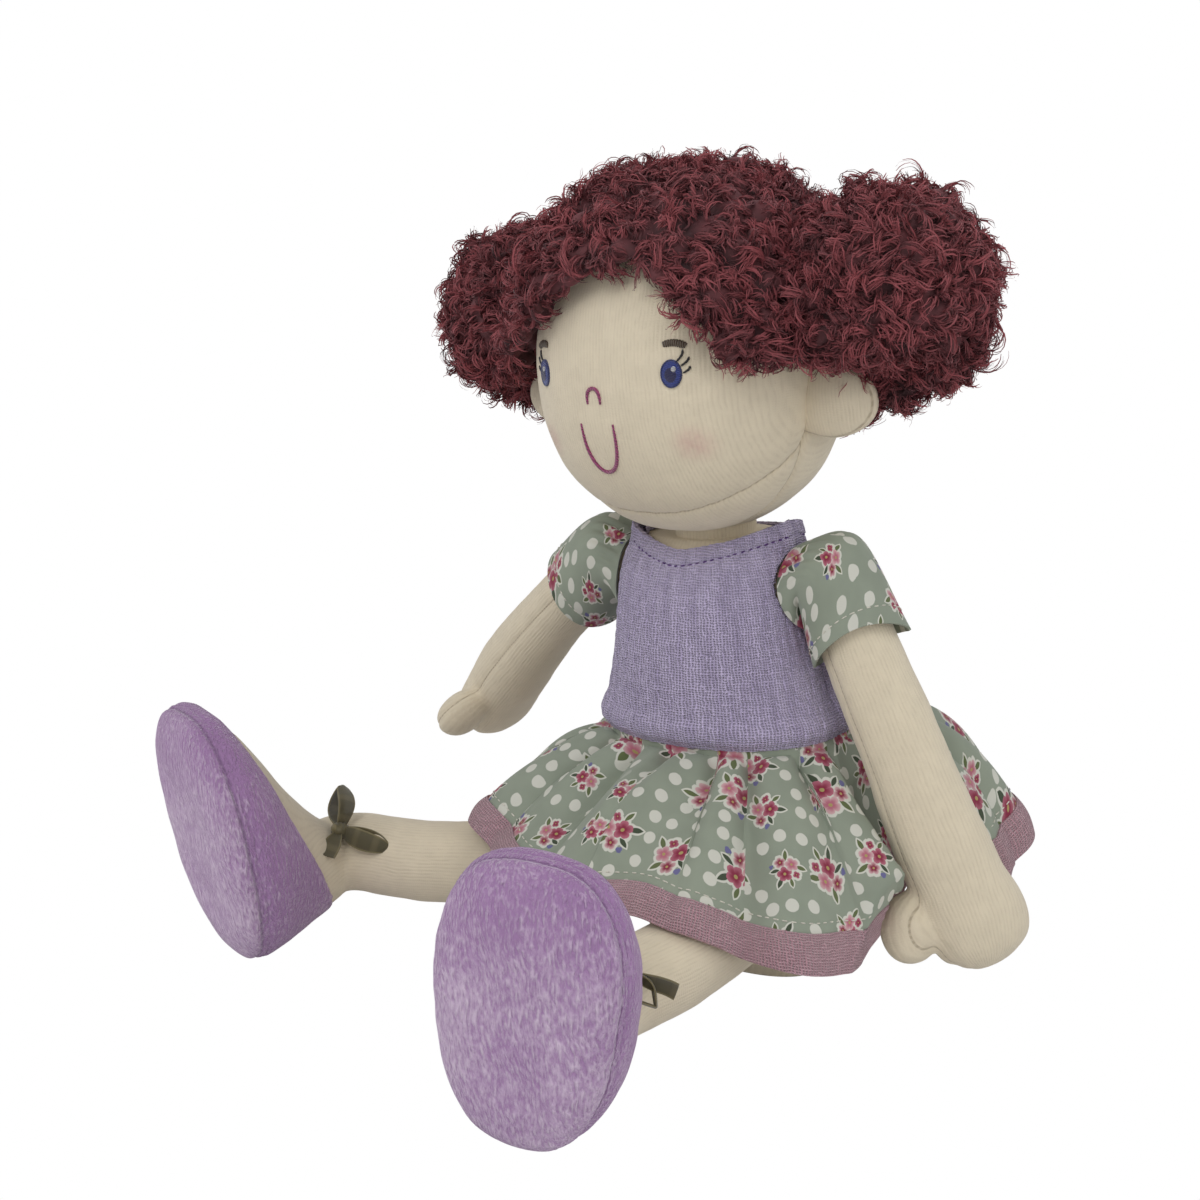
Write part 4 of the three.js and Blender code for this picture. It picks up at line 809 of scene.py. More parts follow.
def bodice_point(plan, share, off=0.0):
    """A point of the bodice's cloth: share goes from its hem, 0, to the neckline, 1."""
    top = neck_height(plan)
    z = BODICE_LOW + (top - BODICE_LOW) * share
    wide, deep = torso_halves(np.minimum(z, TALL))
    wide = np.maximum(wide, 27.5)
    above = np.maximum(z - TALL, 0)
    below = top - z
    puff = 1.2 * np.exp(-(((z - (BODICE_LOW + 5)) / 3.2) ** 2))
    puff = puff - 1.4 * (1 - ease(z, BODICE_LOW, BODICE_LOW + 3))
    rolled = 0.45 * (1 - ease(below, 3.6, 4.6)) - 0.35 * np.exp(-(((below - NECK_STITCH) / 0.5) ** 2))
    seam = -0.7 * np.exp(-((np.sin(plan) * WIDE / 0.8) ** 2))
    seam = seam - 0.6 * np.exp(-((np.cos(plan) * DEEP / 0.8) ** 2)) * (plan > 0)
    crinkle = 0.16 * np.sin(plan * 62 + 2.5 * np.sin(z * 0.11)) + 0.12 * np.sin(plan * 97 - 0.005 * z * z)
    grow = OFF + GAUZE / 2 + puff + rolled + seam + crinkle + off
    x, y = rounded(plan, wide - 0.4 * above + grow, deep + 0.1 * above + grow, SQUARE)
    points = np.stack([x, y, z], -1)
    relief = 0.28 * lumps(points, 17, 8)
    points[:, 0] += np.cos(plan) * relief
    points[:, 1] += np.sin(plan) * relief
    return points


EDGE, ARMHOLE_Z, ARMHOLE_R = 0.004, 125.5, 12
STRETCHES = {
    "bodice_front": (-math.pi + EDGE, -EDGE, 240),
    "bodice_back_left": (EDGE, math.pi / 2 - EDGE, 120),
    "bodice_back_right": (math.pi / 2 + EDGE, math.pi - EDGE, 120),
}
for name, (start, end, cols) in STRETCHES.items():
    plan, share = np.meshgrid(np.linspace(start, end, cols), np.linspace(0, 1, BODICE_ROWS))
    points = bodice_point(plan.ravel(), share.ravel())
    # The armholes: cloth inside them is left out, and the cloth at their edge lies on the circle
    away = np.hypot(points[:, 1], points[:, 2] - ARMHOLE_Z)
    inside = away < ARMHOLE_R
    faces = [f for f in grid_faces(BODICE_ROWS, cols, False) if not inside[f].all()]
    drawn = np.where(inside, ARMHOLE_R / np.maximum(away, 1), 1)
    points[:, 1] *= drawn
    points[:, 2] = ARMHOLE_Z + (points[:, 2] - ARMHOLE_Z) * drawn
    used, faces = np.unique(np.array(faces), return_inverse=True)
    piece = facing_out(make(name + "_cloth", points[used], faces.reshape(-1, 4).tolist(), UPPER))
    thickened(piece, GAUZE)
    dress(piece, "torso", [name], lavender)


def dashes(name, path, length, gap, radius, material):
    """A running stitch along a path of points: a short thread, a gap and the next."""
    path = np.asarray(path, float)
    run = np.r_[0, np.cumsum(np.linalg.norm(np.diff(path, axis=0), axis=1))]
    place = lambda d: np.stack([np.interp(d, run, path[:, k]) for k in range(3)], -1)
    points, faces = [], []
    around = np.linspace(0, TAU, 8, endpoint=False)
    for first in np.arange(gap / 2, run[-1] - length, length + gap):
        a, b = place(first), place(first + length * rng.uniform(0.85, 1.1))
        ahead = unit(b - a)
        side = unit(np.cross(ahead, [0.3, 0.2, 1]))
        lift = np.cross(ahead, side)
        rings = []
        for t in np.linspace(-1, 1, 7):
            width = radius * math.sqrt(max(1 - t**6, 0.05))
            centre = (a + b) / 2 + (b - a) / 2 * t
            rings.append(centre + width * (np.cos(around)[:, None] * side + np.sin(around)[:, None] * lift))
        part, part_faces = lofted(rings)
        faces += [tuple(i + len(points) * len(part) for i in f) for f in part_faces]
        points.append(part)
    return facing_out(make(name, np.vstack(points), faces, material=material))


for name, start, end in (
    ("front", -math.pi + 0.1, -0.1),
    ("back_left", 0.1, 1.5),
    ("back_right", 1.65, math.pi - 0.1),
):
    plan = np.linspace(start, end, 200)
    share = 1 - NECK_STITCH / (neck_height(plan) - BODICE_LOW)
    line = placed(bodice_point(plan, share, GAUZE / 2 + 0.12), UPPER)
    stitches = dashes(f"neckline_{name}_stitches", line, 1.5, 1.1, 0.3, plum_stitch)
    dress(stitches, "torso")

for name, slot_name, cloth in (
    ("neck_facing", "lavender_gauze", lavender),
    ("back_closing_tape", "closing_tape", tape_cotton),
):
    dress(from_cad(name, name + "_cloth"), "torso", [name], cloth)


def copied(node, name, voxel, smoothing, body, material):
    """A soft piece in a CAD node's place, its form rounded and its facets gone."""
    piece = from_cad(node, name)
    remeshed(piece, voxel, smoothing)
    return dress(piece, body, [node], material)


copied("neck", "neck_stuffed", 1.2, 6, "neck", body_jersey)
for side in SIGN:
    copied(f"arm_root_{side}", f"shoulder_seam_{side}", 0.9, 3, f"arm_root_{side}", body_jersey)
    copied(f"leg_root_{side}", f"hip_seam_{side}", 0.9, 3, f"leg_root_{side}", body_jersey)


# Head

HEAD_HALVES = np.array([46.3, 46.3, 51.5])


def face_point(x, z, off=0.0):
    """A point on the face by its place in front view, and off it by a distance, in the head's frame."""
    x, z = np.asarray(x, float), np.asarray(z, float)
    rest = 1 - np.abs(x / HEAD_HALVES[0]) ** SQUARE - np.abs(z / HEAD_HALVES[2]) ** SQUARE
    y = -HEAD_HALVES[1] * np.maximum(rest, 0) ** (1 / SQUARE)
    points = np.stack([x, y, z], -1)
    return points + head_out(points) * np.asarray(off, float)[..., None]


def head_out(points):
    """The direction straight out of the head's form at points on it."""
    scaled = points / HEAD_HALVES
    out = np.sign(scaled) * np.abs(scaled) ** (SQUARE - 1) / HEAD_HALVES
    return out / np.linalg.norm(out, axis=-1, keepdims=True)


def seam_pull(points):
    """How deep the seams draw the head's jersey in."""
    jaw = (points[:, 2] - JAW_Z - JAW_SLOPE * (points[:, 1] - JAW_Y)) / math.hypot(1, JAW_SLOPE)
    before = points[:, 1] < EAR_Y + 1
    side_seam = points[:, 1] - EAR_Y
    around = np.arctan2(points[:, 0], -points[:, 1])
    pucker = 1 + 0.35 * np.sin(around * 38) * np.sin(around * 11)
    pull = np.where(before, 0.6 * np.exp(-(jaw / 0.9) ** 2) + 0.5 * np.exp(-(jaw / 4.5) ** 2) * pucker, 0)
    return pull + 0.7 * np.exp(-(side_seam / 1.0) ** 2) + 0.4 * np.exp(-(side_seam / 4) ** 2)


def head_piece(name, nodes, ear_side, jaw_side=0):
    """A panel of the head's skin: the part before or behind the ear seam, above or below the jaw seam."""
    points, faces = egg(*HEAD_HALVES, SQUARE, 288, 190)
    piece = facing_out(make(name, points, faces))
    form = bmesh.new()
    form.from_mesh(piece.data)
    sliced(form, (0, EAR_Y, 0), (0, ear_side, 0))
    if jaw_side:
        sliced(form, (0, JAW_Y, JAW_Z), (0, -JAW_SLOPE * jaw_side, jaw_side))
    form.to_mesh(piece.data)
    form.free()
    points = coords_of(piece)
    pull = seam_pull(points)
    points = points - head_out(points) * pull[:, None]
    points += head_out(points) * (0.25 * lumps(points, 24, 5))[:, None]
    reshape(piece, placed(points, HEAD))
    piece.data.shade_smooth()
    dress(piece, "head", nodes, face_jersey)


head_piece("face_panel", ["face"], -1, 1)
head_piece("jaw_gusset_panel", ["jaw_gusset"], -1, -1)
head_piece("head_back_panel", ["head_back"], 1)

EAR_HALVES, EAR_X, EAR_BACK, EAR_Z = (16.5, 4.6, 11), 50.0, 1.5, -10.5
for side, sign in SIGN.items():
    points, faces = egg(*EAR_HALVES, 2, 96, 56)
    points[:, 1] += 0.2 * lumps(points, 12, 15)
    points += np.array([sign * EAR_X, EAR_Y + EAR_BACK, EAR_Z])
    ear = facing_out(make(f"ear_{side}_stuffed", points, faces, HEAD))
    dress(ear, "head", [f"ear_{side}"], face_jersey)


# Embroidery on the face

def patch(name, x, z, half_x, half_z, rise, material, base=0.3):
    """A padded oval of satin stitch."""
    rings = []
    angle = np.linspace(0, TAU, 48, endpoint=False)
    for r, off in ((0.97, -0.6), (1, base * 0.5)) + tuple(
        (math.cos(t), base * 0.5 + rise * math.sin(t)) for t in np.linspace(0.25, 1.5, 8)
    ):
        ax, az = half_x * r * np.cos(angle), half_z * r * np.sin(angle)
        rings.append(face_point(x + ax, z + az, off + 0 * angle))
    points, faces = lofted(rings)
    return facing_out(make(name, points, faces, HEAD, material))


def stroke(name, path, width, rise, material, steps, ends, twist):
    """A raised line of stitches along a path in front view; path(t) gives x and z.

    ends is how wide it still is at its ends, as a share, and twist is how often its strands turn.
    """
    t = np.linspace(0, 1, steps)
    x, z = path(t)
    dx, dz = np.gradient(x), np.gradient(z)
    length = np.hypot(dx, dz)
    nx, nz = -dz / length, dx / length
    taper = 1 - (1 - ends) * np.abs(2 * t - 1) ** 6
    half = width / 2 * taper * (1 + 0.10 * np.sin(twist * TAU * t))
    rings = []
    around = np.linspace(0, TAU, 14, endpoint=False)
    for k in range(steps):
        across = half[k] * np.cos(around)
        off = rise * taper[k] * np.sin(around) * np.where(np.sin(around) < 0, 0.9, 1) + 0.15
        rings.append(face_point(x[k] + nx[k] * across, z[k] + nz[k] * across, off))
    points, faces = lofted(rings)
    return facing_out(make(name, points, faces, HEAD, material))


EYE_X, EYE_Z, EYE_WIDE, EYE_TALL, MOUTH_X = 23.6, 2, 2.75, 4.0, -1.5
# Where each lash starts and ends, out from the eye and up from its middle
LASHES = (((2.0, 3.4), (3.5, 6.6)), ((3.0, 2.0), (5.0, 4.5)), ((3.5, 0.0), (5.2, 1.9)))
for side, sign in SIGN.items():
    eye = patch(f"eye_{side}_satin", sign * EYE_X, EYE_Z, EYE_WIDE, EYE_TALL, 0.75, blue_thread)
    dress(eye, "head", [f"eye_{side}"])
    edge = stroke(
        f"eye_{side}_edge",
        lambda t: (
            sign * EYE_X + (EYE_WIDE - 0.25) * np.cos(TAU * t),
            EYE_Z + (EYE_TALL - 0.25) * np.sin(TAU * t),
        ),
        0.6, 0.55, ring_thread, 72, 1.0, 30,
    )
    dress(edge, "head")
    iris = patch(f"eye_{side}_iris", sign * EYE_X - 0.1, 1.7, 1.5, 2.1, 0.3, iris_thread, base=1.5)
    dress(iris, "head")
    spark = patch(f"eye_{side}_highlight", sign * EYE_X + 0.75, 3.3, 0.62, 0.8, 0.35, white_thread, base=1.9)
    dress(spark, "head")
    for k, (start, end) in enumerate(LASHES):
        lash = stroke(
            f"lash_{side}_{k + 1}",
            lambda t: (
                sign * (EYE_X - 0.5 + start[0] + (end[0] - start[0]) * t + 0.5 * np.sin(math.pi * t)),
                EYE_Z + start[1] + (end[1] - start[1]) * t,
            ),
            0.62, 0.38, black_thread, 14, 0.25, 3,
        )
        dress(lash, "head")
    brow = stroke(
        f"brow_{side}_stitched",
        lambda t: (sign * (EYE_X + 0.9 + 2.9 * (2 * t - 1)), 10.2 + 0.7 * np.sin(math.pi * t) - 0.7 * t),
        2.0, 0.6, brow_thread, 32, 0.7, 9,
    )
    dress(brow, "head", [f"brow_{side}"])
nose = stroke(
    "nose_stitched",
    lambda t: (MOUTH_X - 2.4 * np.cos(math.pi * t), -4 + 4.6 * (np.abs(np.sin(math.pi * t)) ** 0.6 - 0.5)),
    1.1, 0.6, berry_thread, 40, 0.6, 12,
)
dress(nose, "head", ["nose"])
mouth = stroke(
    "mouth_stitched",
    lambda t: (
        MOUTH_X - 0.3 - 6.1 * np.cos(math.pi * t) - 0.6 * np.sin(math.pi * t),
        -12.2 - 14.8 * np.abs(np.sin(math.pi * t)) ** 0.7,
    ),
    1.15, 0.6, berry_thread, 90, 0.6, 26,
)
dress(mouth, "head", ["mouth"])


# Hair: a napped backing in each CAD piece's place, and curls of fine strands that grow from it

# How far apart the tufts are, how many strands a curl has, and how many curls grow on each piece
TUFT, STRANDS, CAP_CURLS, BUNCH_CURLS = 7.5, 8, 5000, 2700


def surface_samples(obj, count, source):
    """Random points on a mesh, spread by area, with their normals."""
    mesh = obj.data
    mesh.calc_loop_triangles()
    index = np.empty(len(mesh.loop_triangles) * 3, np.int32)
    mesh.loop_triangles.foreach_get("vertices", index)
    corners = coords_of(obj)[index.reshape(-1, 3)]
    cross = np.cross(corners[:, 1] - corners[:, 0], corners[:, 2] - corners[:, 0])
    area = np.linalg.norm(cross, axis=1)
    middle = corners.mean(1)
    away = middle - source
    outward = np.einsum("ij,ij->i", cross, away) > -0.15 * area * np.linalg.norm(away, axis=1)
    weight = np.where(outward, area, 0)
    chosen = rng.choice(len(weight), count, p=weight / weight.sum())
    a, b = rng.random((2, count, 1))
    flip = (a + b) > 1
    a, b = np.where(flip, 1 - a, a), np.where(flip, 1 - b, b)
    t = corners[chosen]
    points = t[:, 0] + (t[:, 1] - t[:, 0]) * a + (t[:, 2] - t[:, 0]) * b
    return points, cross[chosen] / area[chosen][:, None]


def nearest_tuft(points, middles, size):
    """The way from the nearest tuft's middle to each point, how far along it as a share, and which tuft."""
    best = np.full(len(points), 1e9)
    way = np.zeros_like(points)
    which = np.zeros(len(points), int)
    for k, middle in enumerate(middles):
        offset = points - middle
        distance = np.einsum("ij,ij->i", offset, offset)
        nearer = distance < best
        best[nearer] = distance[nearer]
        way[nearer] = offset[nearer]
        which[nearer] = k
    return way, np.clip(np.sqrt(best) / size, 0, 1), which


def curls(name, roots, normals, middles):
    """Curly locks: each is a bundle of fine flat strands that rises from the backing and curls over."""
    count = len(roots)
    steps = 9
    lie = unit(np.cross(normals, rng.normal(size=(count, 3))) + np.array([0, 0, -0.35]))
    way, edge, which = nearest_tuft(roots, middles, TUFT)
    lean = unit(rng.normal(size=(len(middles), 3)) + np.array([0, 0, -0.2]))[which]
    splay = way / TUFT * rng.uniform(-1.5, 0.9, (count, 1)) + lean * 0.75
    start = unit(normals * rng.uniform(1.0, 2.0, (count, 1)) + lie * 0.6 + splay)
    over = lie * rng.uniform(-0.4, 0.8, (count, 1)) - normals * 0.5
    over = unit(over + np.cross(start, normals) * rng.normal(size=(count, 1)))
    over = unit(over - start * np.einsum("ij,ij->i", over, start)[:, None])
    wild = rng.random(count) < 0.07
    radius = rng.uniform(1.5, 3.6, count) * (1.15 - 0.4 * edge) * np.where(wild, 1.6, 1)
    sweep = rng.uniform(1.6, 4.4, count) * np.where(wild, 0.6, 1)
    # Painted shade: curls near a tuft's edge, in the gaps between tufts, come out darker, mixed with random
    # tone
    shade = rng.random(count) * (1 - 0.75 * edge) + 0.1
    n = count * STRANDS
    repeat = lambda v: np.repeat(v, STRANDS, 0)
    start, over, radius, sweep, shade, out = map(repeat, (start, over, radius, sweep, shade, normals))
    aside = np.cross(start, over)
    spread = np.cross(out, rng.normal(scale=0.45, size=(n, 3)))
    base = repeat(roots) - out * 0.4 + spread
    radius = radius * rng.uniform(0.75, 1.25, n)
    sweep = sweep * rng.uniform(0.7, 1.2, n)
    drift = aside * rng.normal(scale=0.9, size=(n, 1)) + start * rng.uniform(0.4, 2.8, (n, 1))
    s = np.linspace(0, 1, steps)[None, :, None]
    turn = sweep[:, None, None] * s
    crimp = 0.22 * np.sin(s * rng.uniform(9, 16, (n, 1, 1)) + rng.uniform(0, TAU, (n, 1, 1)))
    path = (
        base[:, None]
        + radius[:, None, None] * (start[:, None] * np.sin(turn) + over[:, None] * (1 - np.cos(turn)))
        + drift[:, None] * s
        + (aside[:, None] + over[:, None]) * crimp
    )
    along = unit(np.gradient(path, axis=1))
    face_way = unit(out[:, None] + unit(rng.normal(size=(n, 1, 3))) * 0.9)
    across = unit(np.cross(along, face_way))
    half = 0.2 * (1 - 0.7 * s**3) * rng.uniform(0.6, 1.3, (n, 1, 1))
    points = np.stack([path - across * half, path + across * half], 2).reshape(-1, 3)
    first = (np.arange(n)[:, None] * steps + np.arange(steps - 1)[None, :]).reshape(-1) * 2
    faces = np.stack([first, first + 1, first + 3, first + 2], -1).tolist()
    obj = make(name, points, faces, material=hair_pile)
    height = np.einsum("ijk,ijk->ij", path - base[:, None], np.broadcast_to(out[:, None], path.shape))
    # Painted shade: strands are darker low down near the backing and lighter the higher they stand, mixed
    # with random tone
    tone = (shade * 0.35 + rng.random(n) * 0.3)[:, None] + np.clip(height / 7, -0.2, 0.6)
    write(obj, "tone", np.clip(np.repeat(tone.reshape(-1), 2), 0, 1))
    dress(obj, "head")


def backing(node, name, shift=(0, 0, 0)):
    """The hair's napped backing, drawn up in tufts, and the tufts' middles."""
    piece = remeshed(from_cad(node, name), 1.3, 3)
    points = coords_of(piece) + np.array(HEAD.to_3x3()) @ np.array(shift, float)
    middles = points[rng.choice(len(points), 1)]
    for candidate in points[rng.permutation(len(points))]:
        if ((middles - candidate) ** 2).sum(1).min() > (TUFT * 0.95) ** 2:
            middles = np.vstack([middles, candidate])
    _, edge, which = nearest_tuft(points, middles, TUFT)
    lift = rng.uniform(-1.2, 3.0, len(middles))[which] * (1 - edge**2)
    reshape(piece, points + normals_of(piece) * (lift - 1.0 - 2.2 * edge**1.6)[:, None])
    # Painted shade: the backing darkens towards the gaps between tufts, mixed with random tone
    write(piece, "tone", np.clip(0.9 - edge + rng.random(len(points)) * 0.2, 0, 1))
    dress(piece, "head", [node], hair_base)
    return piece, middles


BUNCH_X, BUNCH_Y, BUNCH_Z = 65.5, 7, 17.5
BUNCH_SHIFT = {"left": (0, 0, 1.0), "right": (-3, 0, -3.5)}
grown_share = 1
head_middle = np.array(HEAD.to_translation())
cap, tufts = backing("hair_cap", "hair_cap_backing")
roots, outs = surface_samples(cap, int(CAP_CURLS * grown_share), head_middle)
leftward, forward = roots[:, 0] > head_middle[0], roots[:, 1] < head_middle[1]
for end, along in (("front", forward), ("back", ~forward)):
    for side, across in (("left", leftward), ("right", ~leftward)):
        pick = along & across
        curls(f"hair_cap_curls_{end}_{side}", roots[pick], outs[pick], tufts)
for side, sign in SIGN.items():
    middle = placed(np.array([[sign * BUNCH_X, BUNCH_Y, BUNCH_Z]]), HEAD)[0]
    bunch, tufts = backing(f"hair_bunch_{side}", f"hair_bunch_{side}_backing", BUNCH_SHIFT[side])
    roots, outs = surface_samples(bunch, int(BUNCH_CURLS * grown_share), middle)
    front = roots[:, 1] < middle[1]
    curls(f"hair_bunch_{side}_curls_front", roots[front], outs[front], tufts)
    curls(f"hair_bunch_{side}_curls_back", roots[~front], outs[~front], tufts)


# Arms

# Each row, in shares: how far down the arm, and half its width and half its depth there
ARM_SHARES = [
    [-0.068, 0.28, 0.28], [-0.05, 0.58, 0.58], [0, 0.78, 0.78], [0.2, 0.82, 0.88], [0.45, 0.9, 0.96],
    [0.66, 1.0, 1.06], [0.78, 0.95, 1.1], [0.88, 0.9, 1.22], [0.95, 0.75, 1.08], [0.99, 0.4, 0.6],
    [1.0, 0.15, 0.25],
]
STUFFED_R, HAND_OUT = 13.3, 3.2
THUMB, THUMB_HALVES, THUMB_LEAN = (0, -17, -109), (7.5, 9.5, 11), -0.45


def joined(name, parts, matrix, voxel, smoothing):
    """Several closed forms as one smooth skin."""
    points, faces, base = [], [], 0
    for part_points, part_faces in parts:
        points.append(part_points)
        faces += [tuple(i + base for i in f) for f in part_faces]
        base += len(part_points)
    obj = facing_out(make(name, np.vstack(points), faces, matrix))
    return remeshed(obj, voxel, smoothing)


def bowed_out(side, down):
    """How far out the arm's tube lies, by the share of its length."""
    return SIGN[side] * ARM_BOW * np.sin(np.pi * np.clip(down, 0, 1))


def stuffed_arm(side, sign):
    angle = np.linspace(0, -TAU, 72, endpoint=False)
    rings = []
    for down, across, deep in smooth_rows(ARM_SHARES, 90):
        x, y = rounded(angle, across * STUFFED_R, deep * STUFFED_R, 2.1)
        y = y + HAND_OUT * float(ease(down, 0.6, 1))
        rings.append(np.stack([x + bowed_out(side, down), y, 0 * x - down * ARM_LONG], -1))
    thumb, thumb_faces = egg(*THUMB_HALVES, 2, 40, 28)
    thumb = placed(thumb, at(*THUMB) @ rot("X", math.degrees(THUMB_LEAN)))
    turned = TURNED[side]
    limb = joined(f"arm_{side}_stuffed", [lofted(rings), (thumb, thumb_faces)], turned, 1.1, 5)
    local = placed(coords_of(limb), turned.inverted())
    out = normals_of(limb)
    # The seam down the front edge of the arm and round the thumb, and the crease between thumb and hand
    bowed = local[:, 0] - bowed_out(side, -local[:, 2] / ARM_LONG)
    aside = bowed * math.cos(SEAM_TURN[side]) + local[:, 1] * math.sin(SEAM_TURN[side])
    seam = np.exp(-((aside / 0.9) ** 2))
    crease = np.exp(-((local[:, 1] + 12.5 + 0.25 * (local[:, 2] - THUMB[2])) / 1.4) ** 2)
    crease = crease * (local[:, 2] < THUMB[2] + 5)
    drawn = 0.45 * seam + 0.5 * crease * (np.abs(local[:, 0]) < 7.5)
    points = coords_of(limb) - out * drawn[:, None]
    points += out * (0.28 * lumps(local, 26, 41 + sign))[:, None]
    reshape(limb, points)
    dress(limb, f"arm_{side}", [f"arm_{side}"], arm_jersey[side])


for side, sign in SIGN.items():
    stuffed_arm(side, sign)


# Feet and legs

SOLE_HALF, FOOT_DEEP, ANKLE_Z, LEG_R = 28.5, 42, 27, 13


def sole_half(share):
    """Half the sole's width at a share of its height."""
    body = np.maximum(1 - np.abs(2 * share - 1) ** 2.5, 0) ** (1 / 2.5)
    return SOLE_HALF * body * (0.86 + 0.17 * share)


def ankle_height(side):
    """How high the middle of the ankle lies in the foot's own tilted frame."""
    return ANKLE_Z - FOOT_DEEP * math.sin(math.radians(TILT[side]))


FOOT_ANGLE = np.linspace(0, TAU, 120, endpoint=False)
LEAN = {"left": 0.13, "right": 0.0}


def foot_ring(side, y, blend, shrink, swell, inset=0.0):
    """An outline of the foot at a depth, from the sole's at blend 0 to the ankle's at blend 1."""
    c, s = np.cos(FOOT_ANGLE), np.sin(FOOT_ANGLE)
    share = (1 + s) / 2
    x = np.sign(c) * sole_half(share) * shrink + (swell - inset) * c
    z = FOOT_TALL * (1 + s * shrink) / 2 + swell * np.maximum(s, 0)
    z -= inset * s
    x = x + LEAN[side] * (z - FOOT_TALL / 2)
    leg_x = (LEG_R * 0.98 - inset) * c
    leg_z = ankle_height(side) + (LEG_R * 0.98 - inset) * s
    return np.stack([x + (leg_x - x) * blend, y + 0 * c, z + (leg_z - z) * blend], -1)


def foot_ring_at(side, t, inset=0.0):
    """The foot's outline at a share of the way from its sole to its ankle."""
    blend = (t * t * (3 - 2 * t)) ** 0.8
    swell = 2.2 * math.sin(math.pi * min(2 * t, 1))
    return foot_ring(side, SEAM / 2 + t * FOOT_DEEP, blend, 1, swell, inset)


# How deep the shoe is at the ankle and how much its edge leans, and where a leg's tube starts
SHOE_DEEP, SHOE_LEAN, LEG_START = 23, 0.3, (0, -18.5, 32)


def puffed_sole(side, sign):
    """A puffed pad, pinched in at its seam."""
    rings = [foot_ring(side, 1.4, 0, 0.96, 0), foot_ring(side, 0.5, 0, 1.0, 0)]
    for t in np.linspace(0.03, 1, 26):
        turn = math.pi / 2 * t
        shrink = (1 - 0.5 * (1 - math.cos(turn)) ** 1.15) * (1 - max(0, t - 0.9) / 0.1 * 0.4)
        rings.append(foot_ring(side, -9 * math.sin(turn) ** 0.95 - 0.1, 0, shrink, 0.5 * math.sin(2 * turn)))
    points, faces = lofted(rings)
    sole = facing_out(make(f"sole_{side}_plush", points, faces, FOOT[side]))
    remeshed(sole, 1.3, 8)
    points = coords_of(sole)
    local = placed(points, FOOT[side].inverted())
    pinch = 0.8 * np.exp(-(((local[:, 1] + 2.2) / 0.9) ** 2))
    reshape(sole, points + normals_of(sole) * (0.35 * lumps(points, 22, 51 + sign) - pinch)[:, None])
    dress(sole, f"leg_{side}", [f"shoe_sole_{side}"], minky[side])


def shoe_upper(side, sign):
    """The same plush, drawn in at the sole's seam and turned in at the shoe's edge."""
    rings = [foot_ring_at(side, t) for t in np.linspace(0, 1, 44)]
    rings.insert(0, foot_ring(side, -0.7, 0, 0.985, 0))
    points, faces = lofted(rings)
    upper = facing_out(make(f"shoe_{side}_plush", points, faces))
    form = bmesh.new()
    form.from_mesh(upper.data)
    sliced(form, (0, SHOE_DEEP, ANKLE_Z), (0, 1, SHOE_LEAN), outer=True)
    edge = [e for e in form.edges if e.is_boundary]
    bmesh.ops.holes_fill(form, edges=edge, sides=0)
    form.to_mesh(upper.data)
    form.free()
    reshape(upper, placed(coords_of(upper), FOOT[side]))
    remeshed(upper, 1.2, 5)
    points = coords_of(upper)
    local = placed(points, FOOT[side].inverted())
    pinch = np.exp(-((local[:, 1] - 0.2) / 0.8) ** 2)
    relief = 0.3 * lumps(points, 20, 61 + sign) + 0.25 - 0.3 * pinch
    reshape(upper, points + normals_of(upper) * relief[:, None])
    dress(upper, f"leg_{side}", [f"shoe_upper_{side}"], minky[side])


def stuffed_leg(side, sign):
    """A stuffed tube from the hip to the shoe, and the jersey instep that runs into the shoe."""
    to_leg = LEG[side].inverted() @ FOOT[side]
    ankle = np.array(to_leg @ Vector((0, FOOT_DEEP - SEAM, ankle_height(side))))
    inside = np.array(to_leg @ Vector((0, FOOT_DEEP / 2, ankle_height(side))))
    root = np.array(LEG_START)
    bend = root + (ankle - root) * 0.6
    bend[0] = ankle[0] * 0.3
    way = smooth_rows([root, bend, ankle, inside], 60)
    ahead = unit(np.gradient(way, axis=0))
    across = unit(np.cross([0, 0, 1], ahead))
    lift = np.cross(ahead, across)
    radius = LEG_R * np.interp(np.linspace(0, 1, 60), [0, 0.3, 0.65, 1], [1, 1.03, 1, 0.98])
    angle = np.linspace(0, TAU, 72, endpoint=False)
    tube = (
        way[:, None]
        + across[:, None] * (radius[:, None] * np.cos(angle))[..., None]
        + lift[:, None] * (radius[:, None] * np.sin(angle))[..., None]
    )
    ball, ball_faces = egg(LEG_R, LEG_R, LEG_R, 2, 48, 32)
    rings = [foot_ring_at(side, t, 0.7 + 6 * max(t - 0.7, 0)) for t in np.linspace(0.2, 1, 30)]
    instep, instep_faces = lofted(rings)
    parts = [lofted(tube), (ball + root, ball_faces), (placed(instep, to_leg), instep_faces)]
    limb = joined(f"leg_{side}_stuffed", parts, LEG[side], 1.2, 5)
    points = coords_of(limb)
    local = placed(points, LEG[side].inverted())
    run = np.r_[0, np.cumsum(np.linalg.norm(np.diff(way, axis=0), axis=1))]
    share_along = np.interp(local[:, 1], way[::-1, 1], run[::-1])
    frame_at = lambda table: np.stack([np.interp(share_along, run, table[:, k]) for k in range(3)], -1)
    off = local - frame_at(way)
    unbent = [np.einsum("ij,ij->i", off, frame_at(table)) for table in (across, lift)]
    write(limb, "unbent", np.stack([*unbent, share_along], -1))
    reshape(limb, points + normals_of(limb) * (0.3 * lumps(points, 26, 71 + sign))[:, None])
    dress(limb, f"leg_{side}", [f"leg_{side}"], leg_jersey[side])


for side, sign in SIGN.items():
    puffed_sole(side, sign)
    shoe_upper(side, sign)
    stuffed_leg(side, sign)


# Ankle bows of sheer ribbon

